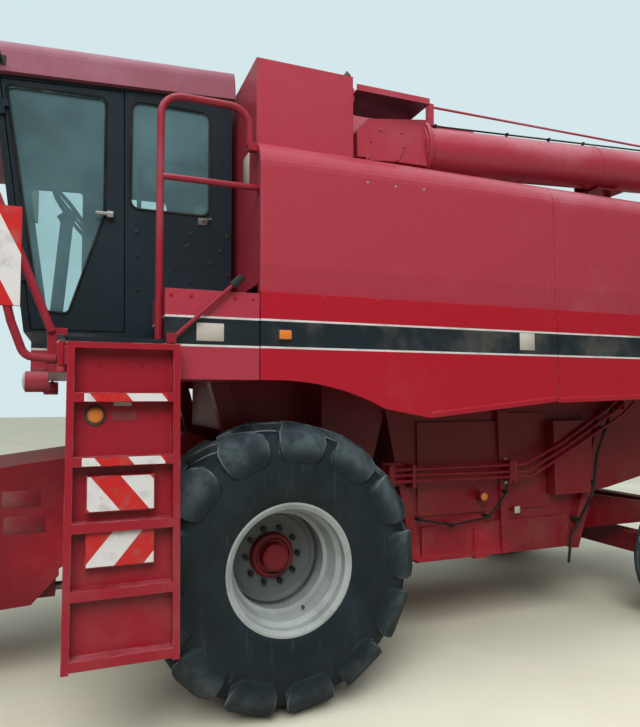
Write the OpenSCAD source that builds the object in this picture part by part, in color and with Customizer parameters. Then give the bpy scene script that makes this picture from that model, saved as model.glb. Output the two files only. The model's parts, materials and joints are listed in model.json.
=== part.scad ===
/* [Front wheels] */
// Height of the front axle centre, half the tyre's diameter
front_tyre_r = 800; // [760:10:820]
// Section width of a front tyre
front_tyre_w = 600; // [520:10:620]
// Sideways place of a front wheel's middle
front_track_y = 1200; // [1190:5:1230]
// Radius of the front rim's flange
front_rim_r = 362; // [340:2:380]
// Width of the front rim over its flanges
front_rim_w = 520; // [480:10:540]
// Depth of the hub face behind the outer flange
front_hub_depth = 370; // [330:10:390]

/* [Rear wheels] */
// Half the rear tyre's diameter
rear_tyre_r = 482; // [460:2:490]
// Section width of a rear tyre
rear_tyre_w = 310; // [280:10:320]
// Sideways place of a rear wheel's middle
rear_track_y = 1150; // [1140:5:1180]
// Radius of the rear rim's flange
rear_rim_r = 248; // [236:2:256]
// Distance from the front axle back to the rear axle
wheelbase = 3450; // [3350:10:3500]
// Sideways place of a kingpin
kingpin_y = 920; // [910:5:930]
// Length of a steering arm behind its kingpin
steer_arm = 180; // [160:5:190]

/* [Upper body] */
// Sideways place of the side sheets' outer faces
side_y = 1500; // [1480:5:1530]
// Height of the joint between side sheet and lower shield
sill_z = 2310; // [2280:5:2330]
// Height of the shoulder's flat top
shoulder_z = 3183; // [3150:1:3200]
// Radius of the rounded shoulder
shoulder_r = 170; // [120:10:200]
// Thickness of the side sheets
sheet_t = 30; // [20:1:36]
// Place of the side sheets' front edge
sheet_front_x = 190; // [185:5:196]
// Place of the seam between front and rear sheets
seam_x = -1830; // [-1880:10:-1780]
// Place of the side sheets' rear edge
sheet_rear_x = -3900; // [-3960:10:-3860]

/* [Grain tank] */
// Place of the tank's front wall
tank_front_x = 170; // [160:2:176]
// Place of the tank's rear wall
tank_rear_x = -1600; // [-1650:10:-1560]
// Half width of the raised front box
tank_half_w = 1340; // [1330:5:1345]
// Height of the tank's rim
tank_top_z = 3700; // [3670:5:3720]
// Thickness of the tank's walls
tank_wall = 24; // [16:1:30]
// Rear end of the raised front box at the left
tank_step_x = -440; // [-460:5:-430]
// Left wall behind the raised front box
tank_recess_y = 950; // [900:10:960]

/* [Cab] */
// Half width of the cab
cab_half_w = 950; // [930:5:960]
// Rear face of the cab
cab_rear_x = 220; // [215:1:240]
// Front face of the cab at its floor
cab_front_x = 1380; // [1360:5:1400]
// Forward lean of the windscreen between floor and roof
cab_lean = 200; // [160:5:215]
// Underside of the cab
cab_floor_z = 2100; // [2095:1:2110]
// Top of the cab's walls at the rear
cab_wall_z = 3602; // [3590:1:3610]
// Fall of the cab's top towards the front, per unit of length
cab_fall = 0.055; // [0.04:0.005:0.06]
// Thickness of the cab's walls
cab_wall = 45; // [40:1:55]
// Thickness of the roof at its rear
roof_t = 174; // [160:2:180]
// Place of the seam between door and rear side window, at the door's top
door_rear_x = 868; // [862:1:872]

/* [Unloader] */
// Place of the swing axis
swing_x = -675; // [-685:5:-665]
// Sideways place of the swing axis
swing_y = 1160; // [1155:1:1165]
// Diameter of the unloading tube
unloader_d = 306; // [290:2:316]
// Height of the tube's axis at its flange
unloader_z = 3385; // [3380:1:3395]
// Rear end of the unloader
unloader_tip_x = -5450; // [-5600:10:-5300]
// Rise of the tube towards its end
unloader_rise = 3.4; // [3.2:0.1:3.5]

/* [Feeder] */
// Front face of the feeder house
feeder_front_x = 2400; // [2300:10:2450]
// Half width of the feeder house
feeder_half_w = 550; // [520:5:570]
// Thickness of the feeder's walls
feeder_wall = 16; // [12:1:24]

/* [Ladder] */
// Rear edge of the ladder
ladder_rear_x = 628; // [610:2:640]
// Front edge of the ladder
ladder_front_x = 1148; // [1130:2:1150]
// Top of the ladder
ladder_top_z = 1996; // [1980:2:2000]
// Bottom of the ladder
ladder_bottom_z = 505; // [480:5:520]
// Lean of the ladder outwards at its foot, in degrees
ladder_lean = 3.2; // [3:0.1:5]

/* [Hidden] */
$fn = 48;

// Fits
run_fit = 0.05;
seat_gap = 0.3;
move_gap = 8;

// The drawing's zero is the front axle; the finished frame's zero is the middle of the length
x_mid = (feeder_front_x + unloader_tip_x) / 2;

// Frame and axles
rail_y = 600;
rail_w = 90;
rail_bottom = 750;
rail_top = 930;
rail_rear_x = -4000;
// Rear length of the rails: bottom, top at the hitch, places of the two bends
rail_low_z = 650;
rail_end_z = 800;
rail_bends = [-2545, -2900];
sill_w = 50;
sill_h = 60;
outriggers = [-420, -1300, -2300, -3300];
outrigger_z = sill_z - 380;
post_in = 700;
plate_in = 610;
base_low_z = 1880;
axle_h = 260;
axle_top_z = front_tyre_r + axle_h / 2;
trunnion_z = 500;
trunnion_d = 60;
hitch_z = 730;
hitch_t = 60;
hitch_r = 17;
// Cross members: place and width along the frame
cross_members = [[-2900, 120], [-wheelbase, 240], [rail_rear_x + 60, 120]];
spindle_r = 60;
hub_face_y = front_track_y + front_rim_w / 2 - front_hub_depth;
rear_x = -wheelbase;
rear_pin_r = 25;
rear_spindle_r = 34;
knuckle_r = 58;
knuckle_h = 170;
fork_t = 34;

// Separator body
body_half_w = 860;
body_top_z = 2050;
body_front_x = 190;
body_bottom_z = 580;
post_t = 40;
// Side posts: two points of the front edge, then two of the rear edge, from the top down
posts = [
    [[-875, 1650], [-1077, 617], [-1148, 597], [-968, 1650]],
    [[-1808, 1640], [-1832, 591], [-1886, 591], [-1898, 1640]],
    [[-2810, 1640], [-2471, 576], [-2551, 569], [-2937, 1640]]];
// Side panels: front, rear, bottom, top, thickness
panels = [
    [-1135, -1840, 905, 1560, 18], [-1160, -1832, 608, 825, 24], [-1896, -2470, 608, 825, 24],
    [-1900, -2270, 905, 1620, 14]];
// Hanging cover plate
cover_plate = [[-2277, 1556], [-2282, 1000], [-2625, 1000], [-2663, 1556]];
cover_y = 960;
// Lines along the side: distance of the pipes, of the cable and of the hose from the middle
pipe_y = 980;
pipe_d = 22;
cable_y = 940;
cable_d = 16;
hose_y = 950;
hose_d = 22;

// Lower shields
shield_y = side_y + 10;
roll_d = 50;
arch_c = [100, 407];
arch_r = 1423;
// Bottom edge of the shields, behind the arch
shield_low = [[-861, 1613], [seam_x + 2, 1708], [seam_x - 2, 1700], [sheet_rear_x, 1757]];
crease_z = sill_z + 150;
sheet_tuck = 14;

// Feeder
feeder_pivot = [400, 1300];
feeder_drum_r = 200;
feeder_pin_r = 35;
lift_base = [190, 560];
lift_eye = [1250, 560];
lift_y = 400;
lift_pin_r = 20;
// Slatted chain: front and rear drum centres, drum radius, link thickness
chain_front = [feeder_front_x - 300, 830];
chain_rear = [760, 1210];
chain_drum_r = 118;
chain_t = 12;
chain_y = 430;
slat_pitch = 230;

// Cab
door_gap = 6;
cab_slope = cab_lean / (cab_wall_z - cab_floor_z);
door_low_z = cab_floor_z + 12;
door_top_gap = 18;
door_slant = 0.015;
post_w = 36;
driver_y = 80;
// Height where the lines of the cab's front and top meet
cab_corner_z =
    (cab_wall_z - cab_fall * (cab_front_x - cab_rear_x - cab_floor_z * cab_slope)) / (1 + cab_fall * cab_slope);

// Collar that carries the unloader's elbow
collar_h = 20;
// Elbow: half width, reach in front of the swing axis, place of the flange, radius of the flange
elbow_w = 140;
elbow_reach = 188;
flange_x = swing_x - 305;
flange_r = 190;

// Place of the guard loop
guard_y = 1440;
tube_d = 40;
tool_box_x = 692;
tool_box_z = 2296;
deck_front_x = 1150;
deck_top_z = 2035;
// Inner edge of the shoulder and side of the tank's lower part
tank_low_y = side_y - shoulder_r - 30;

// Ladder's hinge pin
ladder_pin = [ladder_front_x + 24, side_y + 15];
ladder_pin_r = 10;
lug_r = 18;

// Hinges of the cab's door: heights, distance of the pin from the wall, pin radius
door_hinges = [2380, 3300];
hinge_out = 14;
hinge_leaf = 30;
hinge_pin_r = 5;
hinge_r = 9;
hinge_h = 40;

// Engine and its deck
deck_z = 2950;
deck_t = 40;
screen_x = -3020;
screen_r = 480;
screen_z = 2960;
screen_box_front = -2460;
screen_box_rear = -3580;
// Clean grain elevator: foot, top, breadth
elevator_x = [-930, -750];
elevator_z = [620, 2240];
elevator_w = 280;

// Spreaders
spreader_x = -4420;
spreader_y = 420;
spreader_r = 380;
hood_bottom_z = 1450;
hood_rear_x = -4780;

// Lugs on one half of a front tyre
lug_count = 13;
lug_h = 42;

// Top of the cab's walls at x
function cab_top_at(x) = cab_wall_z - (x - cab_rear_x) * cab_fall;
// Rear edge of the door at height z
function door_rear_at(z) = door_rear_x - (cab_wall_z - z) * door_slant;
// Front edge of the cab at height z
function cab_front_at(z) = cab_front_x + (z - cab_floor_z) * cab_slope;

// Unit vector along v
function unit(v) = v / norm(v);
// Vector v turned a quarter turn to the left
function quarter(v) = [-v[1], v[0]];
// Points of an arc about c
function arc(c, r, a0, a1, n) =
    [for (i = [0:n]) c + r * [cos(a0 + (a1 - a0) * i / n), sin(a0 + (a1 - a0) * i / n)]];

// Points of a closed outline whose corners are rounded with radius r
function rounded_loop(points, r) =
    let (n = len(points))
    [for (i = [0:n - 1])
        let (into = unit(points[i] - points[(i + n - 1) % n]),
            away = unit(points[(i + 1) % n] - points[i]),
            turn = acos(into * away),
            side = cross([each into, 0], [each away, 0])[2] > 0 ? 1 : -1,
            start = points[i] - into * r * tan(turn / 2),
            c = start + quarter(into) * side * r,
            a0 = atan2(start[1] - c[1], start[0] - c[0]))
        each arc(c, r, a0, a0 + side * turn, 4)];

// Puts the drawing, which is made about the front axle, into the finished frame
module placed() translate([-x_mid, 0, 0]) children();

// Plate with an outline in X and Z, from y0 to y1
module xz_plate(points, y0, y1)
    translate([0, y1, 0]) rotate([90, 0, 0]) linear_extrude(y1 - y0) polygon(points);

// Beam with an outline in Y and Z, from x0 to x1
module yz_beam(points, x0, x1)
    translate([x0, 0, 0]) rotate([90, 0, 90]) linear_extrude(x1 - x0) polygon(points);

// Box between two corners
module box(a, b) translate(a) cube(b - a);

// Both sides of a piece that is drawn at the left
module both_sides() {
    children();
    mirror([0, 1, 0]) children();
}

// Round bar between two points
module bar(a, b, d) {
    v = b - a;
    translate(a)
        rotate([0, acos(v[2] / norm(v)), atan2(v[1], v[0])])
            cylinder(h = norm(v), d = d);
}

// Round bar along Y
module bar_y(x, z, y0, y1, d) translate([x, y1, z]) rotate([90, 0, 0]) cylinder(h = y1 - y0, d = d);

// Points of a path whose corners are rounded with radius r
function rounded(points, r) =
    let (last = len(points) - 1,
        dirs = [for (i = [0:last - 1]) unit(points[i + 1] - points[i])])
    concat([points[0]],
        [for (i = [1:last - 1])
            let (turn = acos(dirs[i - 1] * dirs[i]),
                side = cross([each dirs[i - 1], 0], [each dirs[i], 0])[2] > 0 ? 1 : -1,
                start = points[i] - dirs[i - 1] * r * tan(turn / 2),
                c = start + quarter(dirs[i - 1]) * side * r,
                a0 = atan2(start[1] - c[1], start[0] - c[0]))
            each arc(c, r, a0, a0 + side * turn, max(2, round(turn / 15)))],
        [points[last]]);

// Round tube along a path in the X and Y plane
module bent_tube(points, bend_r, d, sides = 12) {
    path = rounded(points, bend_r);
    last = len(path) - 1;
    ways = [for (i = [0:last]) unit(unit(path[min(i + 1, last)] - path[min(i, last - 1)])
        + unit(path[max(i, 1)] - path[max(i, 1) - 1]))];
    rings = [for (i = [0:last]) for (k = [0:sides - 1])
        let (flat = quarter(ways[i]) * cos(k * 360 / sides) * d / 2)
        [path[i][0] + flat[0], path[i][1] + flat[1], sin(k * 360 / sides) * d / 2]];
    polyhedron(rings, concat(
        [[for (k = [0:sides - 1]) k]],
        [for (i = [0:last - 1]) for (k = [0:sides - 1])
            let (next = (k + 1) % sides)
            [i * sides + k, (i + 1) * sides + k, (i + 1) * sides + next, i * sides + next]],
        [[for (k = [0:sides - 1]) last * sides + sides - 1 - k]]), convexity = 4);
}

// Stands a drawing of the X and Y plane up in X and Z at sideways place y
module upright(y) translate([0, y, 0]) rotate([90, 0, 0]) children();

// Closed profile from the outer and inner points of one half, drawn from the bead to the middle
function both_halves(outer, inner) = concat(
    [for (p = outer) [p[0], -p[1]]],
    [for (i = [len(outer) - 1:-1:0]) outer[i]],
    inner,
    [for (i = [len(inner) - 1:-1:0]) [inner[i][0], -inner[i][1]]]);

// Wheel part turned from [radius, outward offset] points, about Y at the left side
module turned(x, y, z, points)
    translate([x, y, z]) rotate([-90, 0, 0]) rotate_extrude($fn = 72) polygon(points);

// Main frame: two rails, cross members, posts, sills, outriggers and the tow hitch
module frame() color("firebrick") placed() {
    rail_in = rail_y - rail_w / 2;
    rail_out = rail_y + rail_w / 2;
    sill_in = side_y - sheet_t - sill_w;
    rail = [[rail_rear_x, rail_low_z], [rail_bends[0] - 95, rail_low_z], [rail_bends[0], rail_bottom],
        [-axle_h / 2, rail_bottom], [-axle_h / 2, rail_top], [rail_bends[1], rail_top],
        [rail_rear_x + 300, rail_end_z], [rail_rear_x, rail_end_z]];
    difference() {
        union() {
            both_sides() {
                xz_plate(rail, rail_in, rail_out);
                // Slanted post from the axle to the cab's base, and the feeder's bearing plate
                xz_plate([[-60, axle_top_z], [60, axle_top_z], [330, base_low_z], [210, base_low_z]],
                    post_in, post_in + 100);
                xz_plate([[40, 1180], [460, 1230], [460, 1370], [120, 1480]], plate_in, post_in);
            }
            for (c = cross_members)
                box([c[0] - c[1] / 2, -rail_in, rail_low_z + 10], [c[0] + c[1] / 2, rail_in, rail_end_z - 10]);
            box([rail_rear_x - 160, -70, hitch_z - hitch_t / 2], [rail_rear_x + 60, 70, hitch_z + hitch_t / 2]);
            // Trunnion plates and the rear axle's centre pin
            for (x = [rear_x - 110, rear_x + 90])
                box([x, -90, trunnion_z - 70], [x + 20, 90, rail_low_z + 10]);
            bar([rear_x - 130, 0, trunnion_z], [rear_x + 130, 0, trunnion_z], trunnion_d);
        }
        translate([rail_rear_x - 110, 0, hitch_z - 100]) cylinder(h = 200, r = hitch_r);
        both_sides()
            bar_y(feeder_pivot[0], feeder_pivot[1], plate_in - 10, post_in + 110, 2 * feeder_pin_r + 2 * run_fit);
    }
    both_sides() {
        box([sheet_rear_x, sill_in, sill_z - sill_h], [sheet_front_x - 4, side_y - sheet_t, sill_z + sill_h]);
        for (x = outriggers) {
            box([x - 35, body_half_w, outrigger_z], [x + 35, sill_in, outrigger_z + 70]);
            box([x - 35, sill_in - 50, outrigger_z + 70], [x + 35, sill_in, sill_z + 40]);
        }
    }
}

// Front axle beam with final drives and spindles
module front_axle() color("dimgray") placed() {
    box([-axle_h / 2, -820, front_tyre_r - axle_h / 2], [axle_h / 2, 820, front_tyre_r + axle_h / 2]);
    both_sides() {
        bar_y(0, front_tyre_r, 820, 900, 420);
        bar_y(0, front_tyre_r, 900, hub_face_y - 60, 300);
        bar_y(0, front_tyre_r, hub_face_y - 60, hub_face_y + 60, 2 * spindle_r);
        // Ears that carry the lift cylinders
        box([axle_h / 2, lift_y - 60, 500], [lift_base[0] + 40, lift_y - 36, 700]);
        box([axle_h / 2, lift_y + 36, 500], [lift_base[0] + 40, lift_y + 60, 700]);
        box([-40, lift_y - 60, 500], [axle_h / 2, lift_y + 60, front_tyre_r - axle_h / 2]);
        bar_y(lift_base[0], lift_base[1], lift_y - 60, lift_y + 60, 2 * lift_pin_r);
    }
}

// Rear axle: box beam with a fork for the kingpin at each end
module rear_axle() color("firebrick") placed() {
    wheel_z = rear_tyre_r;
    difference() {
        union() {
            box([rear_x - 80, -(kingpin_y - 110), wheel_z - 70], [rear_x + 80, kingpin_y - 110, wheel_z + 90]);
            both_sides() {
                box([rear_x - 60, kingpin_y - 150, wheel_z - knuckle_h / 2 - fork_t],
                    [rear_x + 60, kingpin_y - 80, wheel_z + knuckle_h / 2 + fork_t]);
                for (z = [wheel_z - knuckle_h / 2 - fork_t, wheel_z + knuckle_h / 2])
                    box([rear_x - 60, kingpin_y - 150, z], [rear_x + 60, kingpin_y + 55, z + fork_t]);
            }
        }
        both_sides() translate([rear_x, kingpin_y, wheel_z - 200]) cylinder(h = 400, r = rear_pin_r + run_fit);
        // Seat of the centre pin
        translate([rear_x - 100, 0, trunnion_z]) rotate([0, 90, 0]) cylinder(h = 200, d = trunnion_d + 2 * run_fit);
    }
}

// Kingpin, knuckle and stub axle at the left
module knuckle_shape() color("silver") {
    wheel_z = rear_tyre_r;
    translate([rear_x, kingpin_y, wheel_z - knuckle_h / 2 + 1]) cylinder(h = knuckle_h - 2, r = knuckle_r);
    translate([rear_x, kingpin_y, wheel_z - knuckle_h / 2 - fork_t])
        cylinder(h = knuckle_h + 2 * fork_t, r = rear_pin_r);
    bar_y(rear_x, wheel_z, kingpin_y, rear_track_y + 70, 2 * rear_spindle_r);
    // Steering arm and its ball pin
    box([rear_x - steer_arm - 35, kingpin_y - 20, wheel_z - 20], [rear_x, kingpin_y + 20, wheel_z + 10]);
    translate([rear_x - steer_arm, kingpin_y, wheel_z - 70]) cylinder(h = 60, d = 32);
}
module knuckle_left() placed() knuckle_shape();
module knuckle_right() placed() mirror([0, 1, 0]) knuckle_shape();

// Tie rod between the steering arms
module tie_rod() color("dimgray") placed() {
    eye_z = rear_tyre_r - 62;
    difference() {
        union() {
            bar_y(rear_x - steer_arm, eye_z + 15, -kingpin_y + 20, kingpin_y - 20, 36);
            both_sides() translate([rear_x - steer_arm, kingpin_y, eye_z - 4]) cylinder(h = 38, d = 72);
        }
        both_sides() translate([rear_x - steer_arm, kingpin_y, eye_z - 50]) cylinder(h = 120, r = 16 + run_fit);
    }
}

// Separator body between the wheels, with its side posts, panels and hanging cover plate
module separator_body() color("firebrick") placed() {
    outline = [[-420, body_top_z], [-420, 1180], [-760, 1180], [-880, 1620], [-1100, 600],
        [-1130, body_bottom_z], [-2500, body_bottom_z], [-2600, 975], [-2900, 1010], [-3300, 1090],
        [sheet_rear_x, 1200], [sheet_rear_x, body_top_z]];
    difference() {
        union() {
            xz_plate(outline, -body_half_w, body_half_w);
            xz_plate([[-500, body_top_z], [body_front_x, body_top_z], [body_front_x, 1520], [60, 1300],
                [-500, 1180]], -540, 540);
        }
        // Channels for the frame rails
        both_sides() box([rail_rear_x, rail_y - rail_w / 2, rail_low_z], [0, rail_y + rail_w / 2, rail_top]);
    }
    both_sides() {
        for (p = posts)
            xz_plate(p, body_half_w, body_half_w + post_t);
        for (p = panels)
            box([p[1], body_half_w, p[2]], [p[0], body_half_w + p[4], p[3]]);
        // Lower sill
        box([-2522, body_half_w, body_bottom_z + 10], [-1120, body_half_w + 30, body_bottom_z + 40]);
        xz_plate(cover_plate, body_half_w, cover_y);
        // Bracket plate under the middle panel and the marker lamp's bracket
        box([-1700, body_half_w, 575], [-1591, body_half_w + 34, 783]);
        box([-1660, body_half_w, 990], [-1614, cover_y - 22, 1056]);
        bar_y(-1637, 1023, cover_y - 22, cover_y, 70);
    }
    // Mounting plate of the valve block at the left
    box([-985, body_half_w + post_t, 1130], [-845, body_half_w + post_t + 12, 1290]);
}

// Side sheet with its rounded shoulder and tucked lower edge, drawn at the left
module side_sheet(x0, x1) {
    c = [side_y - shoulder_r, shoulder_z - shoulder_r];
    profile = concat([[side_y - sheet_t, sill_z], [side_y - sheet_tuck, sill_z], [side_y, crease_z]],
        arc(c, shoulder_r, 0, 90, 10),
        [[tank_low_y, shoulder_z], [tank_low_y, shoulder_z - sheet_t]],
        arc(c, shoulder_r - sheet_t, 90, 0, 10));
    yz_beam(profile, x0, x1);
}

// Left side sheets, front and rear
module side_left() color("firebrick") placed() {
    side_sheet(seam_x + 2, sheet_front_x);
    side_sheet(sheet_rear_x, seam_x - 2);
}

// Right side sheets, with the air screen's housing behind them
module side_right() color("firebrick") placed() mirror([0, 1, 0]) {
    side_sheet(seam_x + 2, sheet_front_x);
    side_sheet(screen_box_front + 4, seam_x - 2);
    side_sheet(sheet_rear_x, screen_box_rear - 4);
}

// Lower shields of one side, drawn at the left, with the wheel arch and the rolled bottom edge
module shield() {
    front_part = concat([[sheet_front_x, sill_z], [sheet_front_x, arch_c[1] + arch_r]],
        arc(arch_c, arch_r, 88, 117.5, 10), [shield_low[0], shield_low[1], [seam_x + 2, sill_z]]);
    rear_part = [[seam_x - 2, sill_z], shield_low[2], shield_low[3], [sheet_rear_x, sill_z]];
    proud = 3;
    inset = 8;
    roll_y = shield_y + proud - roll_d / 2;
    roll_up = roll_d / 2 - proud;
    xz_plate(front_part, side_y - sheet_t, shield_y);
    xz_plate(rear_part, side_y - sheet_t, shield_y);
    for (i = [0, 2]) {
        a = shield_low[i];
        b = shield_low[i + 1];
        along = unit(b - a) * inset;
        bar([a[0] + along[0], roll_y, a[1] + along[1] + roll_up],
            [b[0] - along[0], roll_y, b[1] - along[1] + roll_up], roll_d);
    }
}
module shield_left() color("firebrick") placed() shield();
module shield_right() color("firebrick") placed() mirror([0, 1, 0]) shield();

// Platform: base under the cab, tool boxes beside it and the walkway deck
module platform() color("firebrick") placed() {
    walk_y = cab_half_w + 10;
    base_front_x = cab_front_x - 40;
    box([body_front_x + 10, -cab_half_w, base_low_z], [base_front_x, cab_half_w, cab_floor_z]);
    both_sides() {
        // Tool box and its hanger
        box([sheet_front_x + 4, walk_y, 1830], [tool_box_x, side_y, tool_box_z]);
        box([200, cab_half_w - 20, 1900], [tool_box_x, walk_y, 2080]);
        // Driving lamp on its bracket
        box([base_front_x - 80, cab_half_w, 1886], [base_front_x - 20, cab_half_w + 160, 1896]);
        box([base_front_x - 60, cab_half_w + 130, 1860], [base_front_x - 40, cab_half_w + 160, 1890]);
        bar([base_front_x - 97, cab_half_w + 150, 1822], [base_front_x + 14, cab_half_w + 150, 1822], 110);
    }
    // Walkway deck with its front apron
    box([tool_box_x, walk_y, 2000], [deck_front_x, guard_y + 25, deck_top_z]);
    box([tool_box_x, cab_half_w, 1900], [deck_front_x, walk_y, deck_top_z]);
    box([deck_front_x - 10, walk_y, 1870], [deck_front_x, guard_y + 25, deck_top_z]);
    // Hinge plate of the ladder with its two lugs
    box([ladder_pin[0] - 30, guard_y, 1860], [ladder_pin[0] + 22, guard_y + 25, deck_top_z]);
    difference() {
        for (z = [1860, deck_top_z - 25]) {
            box([ladder_pin[0] - lug_r, guard_y + 25, z], [ladder_pin[0] + lug_r, ladder_pin[1], z + 25]);
            translate([ladder_pin[0], ladder_pin[1], z]) cylinder(h = 25, r = lug_r);
        }
        translate([ladder_pin[0], ladder_pin[1], 1800]) cylinder(h = 300, r = ladder_pin_r + run_fit);
    }
}

// Handrails round the walkway, with the guard loop, its warning board and the shut-off lever
module handrails() color("firebrick") placed() {
    rail_plane = 1420;
    rail_x = tool_box_x + tube_d / 2 + 2;
    lower_z = 2902;
    lever_y = side_y + 30;
    upright(rail_plane)
        bent_tube([[rail_x, deck_top_z], [rail_x, 3346], [232, 3346], [232, 3130]], 110, tube_d);
    box([sheet_front_x, rail_plane - 22, 3105], [244, rail_plane + 22, 3150]);
    bar([tank_front_x + 6, rail_plane, lower_z], [rail_x, rail_plane, lower_z], tube_d - 6);
    box([tank_front_x, rail_plane - 30, lower_z - 30], [tank_front_x + 8, rail_plane + 30, lower_z + 30]);
    // Guard loop in front of the ladder, with its foot on the deck's front edge
    upright(guard_y)
        bent_tube([[1220, 2056], [1617, 3060], [1800, 3000], [1450, 2310], [1400, 2100], [1340, 1935],
            [1198, 1925]], 60, tube_d);
    box([deck_front_x, guard_y - 40, 1900], [deck_front_x + 90, guard_y - 4, deck_top_z + 42]);
    box([1360, guard_y + tube_d / 2 - 3, 2170], [1470, guard_y + tube_d / 2 + 2, 2650]);
    // Lever on the tool box
    box([640, side_y, 2012], [688, lever_y + 12, 2060]);
    bar([656, lever_y, 2036], [314, lever_y, 2358], 22);
    bar([350, lever_y, 2324], [300, lever_y, 2371], 40);
}

// Hollow grain tank with a sloped floor and its raised sides
module grain_tank() color("firebrick") placed() {
    low_y = tank_low_y;
    w = tank_wall;
    slope_z = 2680;
    floor_y = 320;
    ledge = shoulder_z - w;
    hopper = [[-low_y, shoulder_z], [-low_y, slope_z], [-floor_y, body_top_z], [floor_y, body_top_z],
        [low_y, slope_z], [low_y, shoulder_z]];
    hollow = [[-low_y + w, ledge], [-low_y + w, slope_z + w / 2], [-floor_y, body_top_z + w],
        [floor_y, body_top_z + w], [low_y - w, slope_z + w / 2], [low_y - w, ledge]];
    // Wing of the front wall, in front of the frame's sill
    wing_y = side_y - sheet_t - 1;
    wing = concat([[cab_half_w - 50, sill_z + sill_h], [wing_y, sill_z + sill_h]],
        arc([side_y - shoulder_r, shoulder_z - shoulder_r], shoulder_r - sheet_t - 1, 0, 90, 6),
        [[cab_half_w - 50, shoulder_z - sheet_t - 1]]);
    difference() {
        union() {
            yz_beam(hopper, tank_rear_x, tank_front_x);
            box([tank_step_x, -tank_half_w, shoulder_z], [tank_front_x, tank_half_w, tank_top_z]);
            box([tank_rear_x, -tank_half_w, shoulder_z], [tank_step_x, tank_recess_y, tank_top_z]);
        }
        yz_beam(hollow, tank_rear_x + w, tank_front_x - w);
        // Necks between the hopper and the raised sides, then the raised sides themselves
        box([tank_step_x + w, -low_y + w, ledge - 1], [tank_front_x - w, low_y - w, shoulder_z + w + 1]);
        box([tank_rear_x + w, -low_y + w, ledge - 1], [tank_step_x + w + 1, tank_recess_y - w, shoulder_z + w + 1]);
        box([tank_step_x + w, -tank_half_w + w, shoulder_z + w], [tank_front_x - w, tank_half_w - w, tank_top_z + 1]);
        box([tank_rear_x + w, -tank_half_w + w, shoulder_z + w],
            [tank_step_x + w + 1, tank_recess_y - w, tank_top_z + 1]);
    }
    both_sides() yz_beam(wing, tank_front_x - w, tank_front_x);
    // Collar under the unloader's elbow
    translate([swing_x, swing_y, shoulder_z - 1]) cylinder(h = collar_h + 1, r = 138);
}

// Cross augers on the tank's floor
module tank_augers() color("silver") placed() {
    z = body_top_z + tank_wall + 80;
    for (y = [-140, 140])
        bar([tank_rear_x + tank_wall + seat_gap, y, z], [tank_front_x - tank_wall - seat_gap, y, z], 110);
}

// Cover plate over the unloader's elbow, with turned-up edges
module tank_cover() color("firebrick") placed() {
    rear_x_edge = -946;
    inner_y = swing_y - 75;
    outer_y = tank_half_w + 60;
    low_z = 3590;
    rim_z = 3628;
    box([rear_x_edge, inner_y, low_z], [tank_step_x, outer_y, low_z + 10]);
    box([rear_x_edge, outer_y - 8, low_z], [tank_step_x, outer_y, rim_z]);
    box([rear_x_edge, inner_y, low_z], [rear_x_edge + 8, outer_y, rim_z]);
    box([tank_step_x - 8, inner_y, low_z - 40], [tank_step_x, tank_half_w, rim_z]);
}

// Outline of the cab's side, smaller by g
function cab_outline(g) = [[cab_rear_x + g, cab_floor_z + g],
    [cab_front_at(cab_floor_z + g) - g, cab_floor_z + g],
    [cab_front_at(cab_corner_z - g) - g, cab_corner_z - g], [cab_rear_x + g, cab_wall_z - g]];

// Outline of the door, smaller than its opening by g
function door_outline(g) =
    let (front_z = cab_corner_z - door_top_gap - g,
        rear_z = cab_top_at(door_rear_x) - door_top_gap - g)
    [[door_rear_at(door_low_z) + g, door_low_z + g],
        [cab_front_at(door_low_z + g) - post_w - g, door_low_z + g],
        [cab_front_at(front_z) - post_w - g, front_z], [door_rear_at(rear_z) + g, rear_z]];

// Outline of the door's window, grown by g
function door_window(g) = rounded_loop([[970 - g, 3492 + g], [970 - g, 2792 - g], [1154 - g, 2211 - g],
    [1308 + g, 2220 - g], [1500 + g, 3476 + g]], 36);

// Outline of the rear side window, grown by g
function side_window(g) = rounded_loop([[360 - g, 2850 - g], [828 + g, 2850 - g], [828 + g, 3505 + g],
    [360 - g, 3505 + g]], 60);

// Outline of the right window, grown by g
function right_window(g) = rounded_loop([[1068 - g, 2260 - g], [1320 + g, 2260 - g], [1494 + g, 3492 + g],
    [1068 - g, 3512 + g]], 50);

// Stands its children on the door's hinge axis at height z, the axis along Z
module at_hinge(z)
    translate([cab_front_at(z) - post_w, cab_half_w + hinge_out, z]) rotate([0, atan(cab_slope), 0]) children();

// Hollow cab with its window openings
module cab_shell() color([0.12, 0.12, 0.14]) placed() {
    difference() {
        xz_plate(cab_outline(0), -cab_half_w, cab_half_w);
        xz_plate(cab_outline(cab_wall), -cab_half_w + cab_wall, cab_half_w - cab_wall);
        // Door opening at the left
        xz_plate(door_outline(0), cab_half_w - cab_wall - 1, cab_half_w + 1);
        // Rear side windows and the right window
        xz_plate(side_window(0), cab_half_w - cab_wall - 1, cab_half_w + 1);
        xz_plate(side_window(0), -cab_half_w - 1, -cab_half_w + cab_wall + 1);
        xz_plate(right_window(0), -cab_half_w - 1, -cab_half_w + cab_wall + 1);
        // Windscreen
        box([cab_front_x - 100, -cab_half_w + 70, 2260], [cab_front_x + 400, cab_half_w - 70, 3480]);
        // Rear window
        box([cab_rear_x - 1, -600, 2900], [cab_rear_x + cab_wall + 1, 600, 3400]);
    }
    for (z = door_hinges)
        at_hinge(z) difference() {
            union() {
                cylinder(h = hinge_h, r = hinge_r);
                box([4, -hinge_out, 0], [hinge_leaf, hinge_r - 2, hinge_h]);
            }
            translate([0, 0, -5]) cylinder(h = hinge_h + 10, r = hinge_pin_r + run_fit);
        }
}

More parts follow.
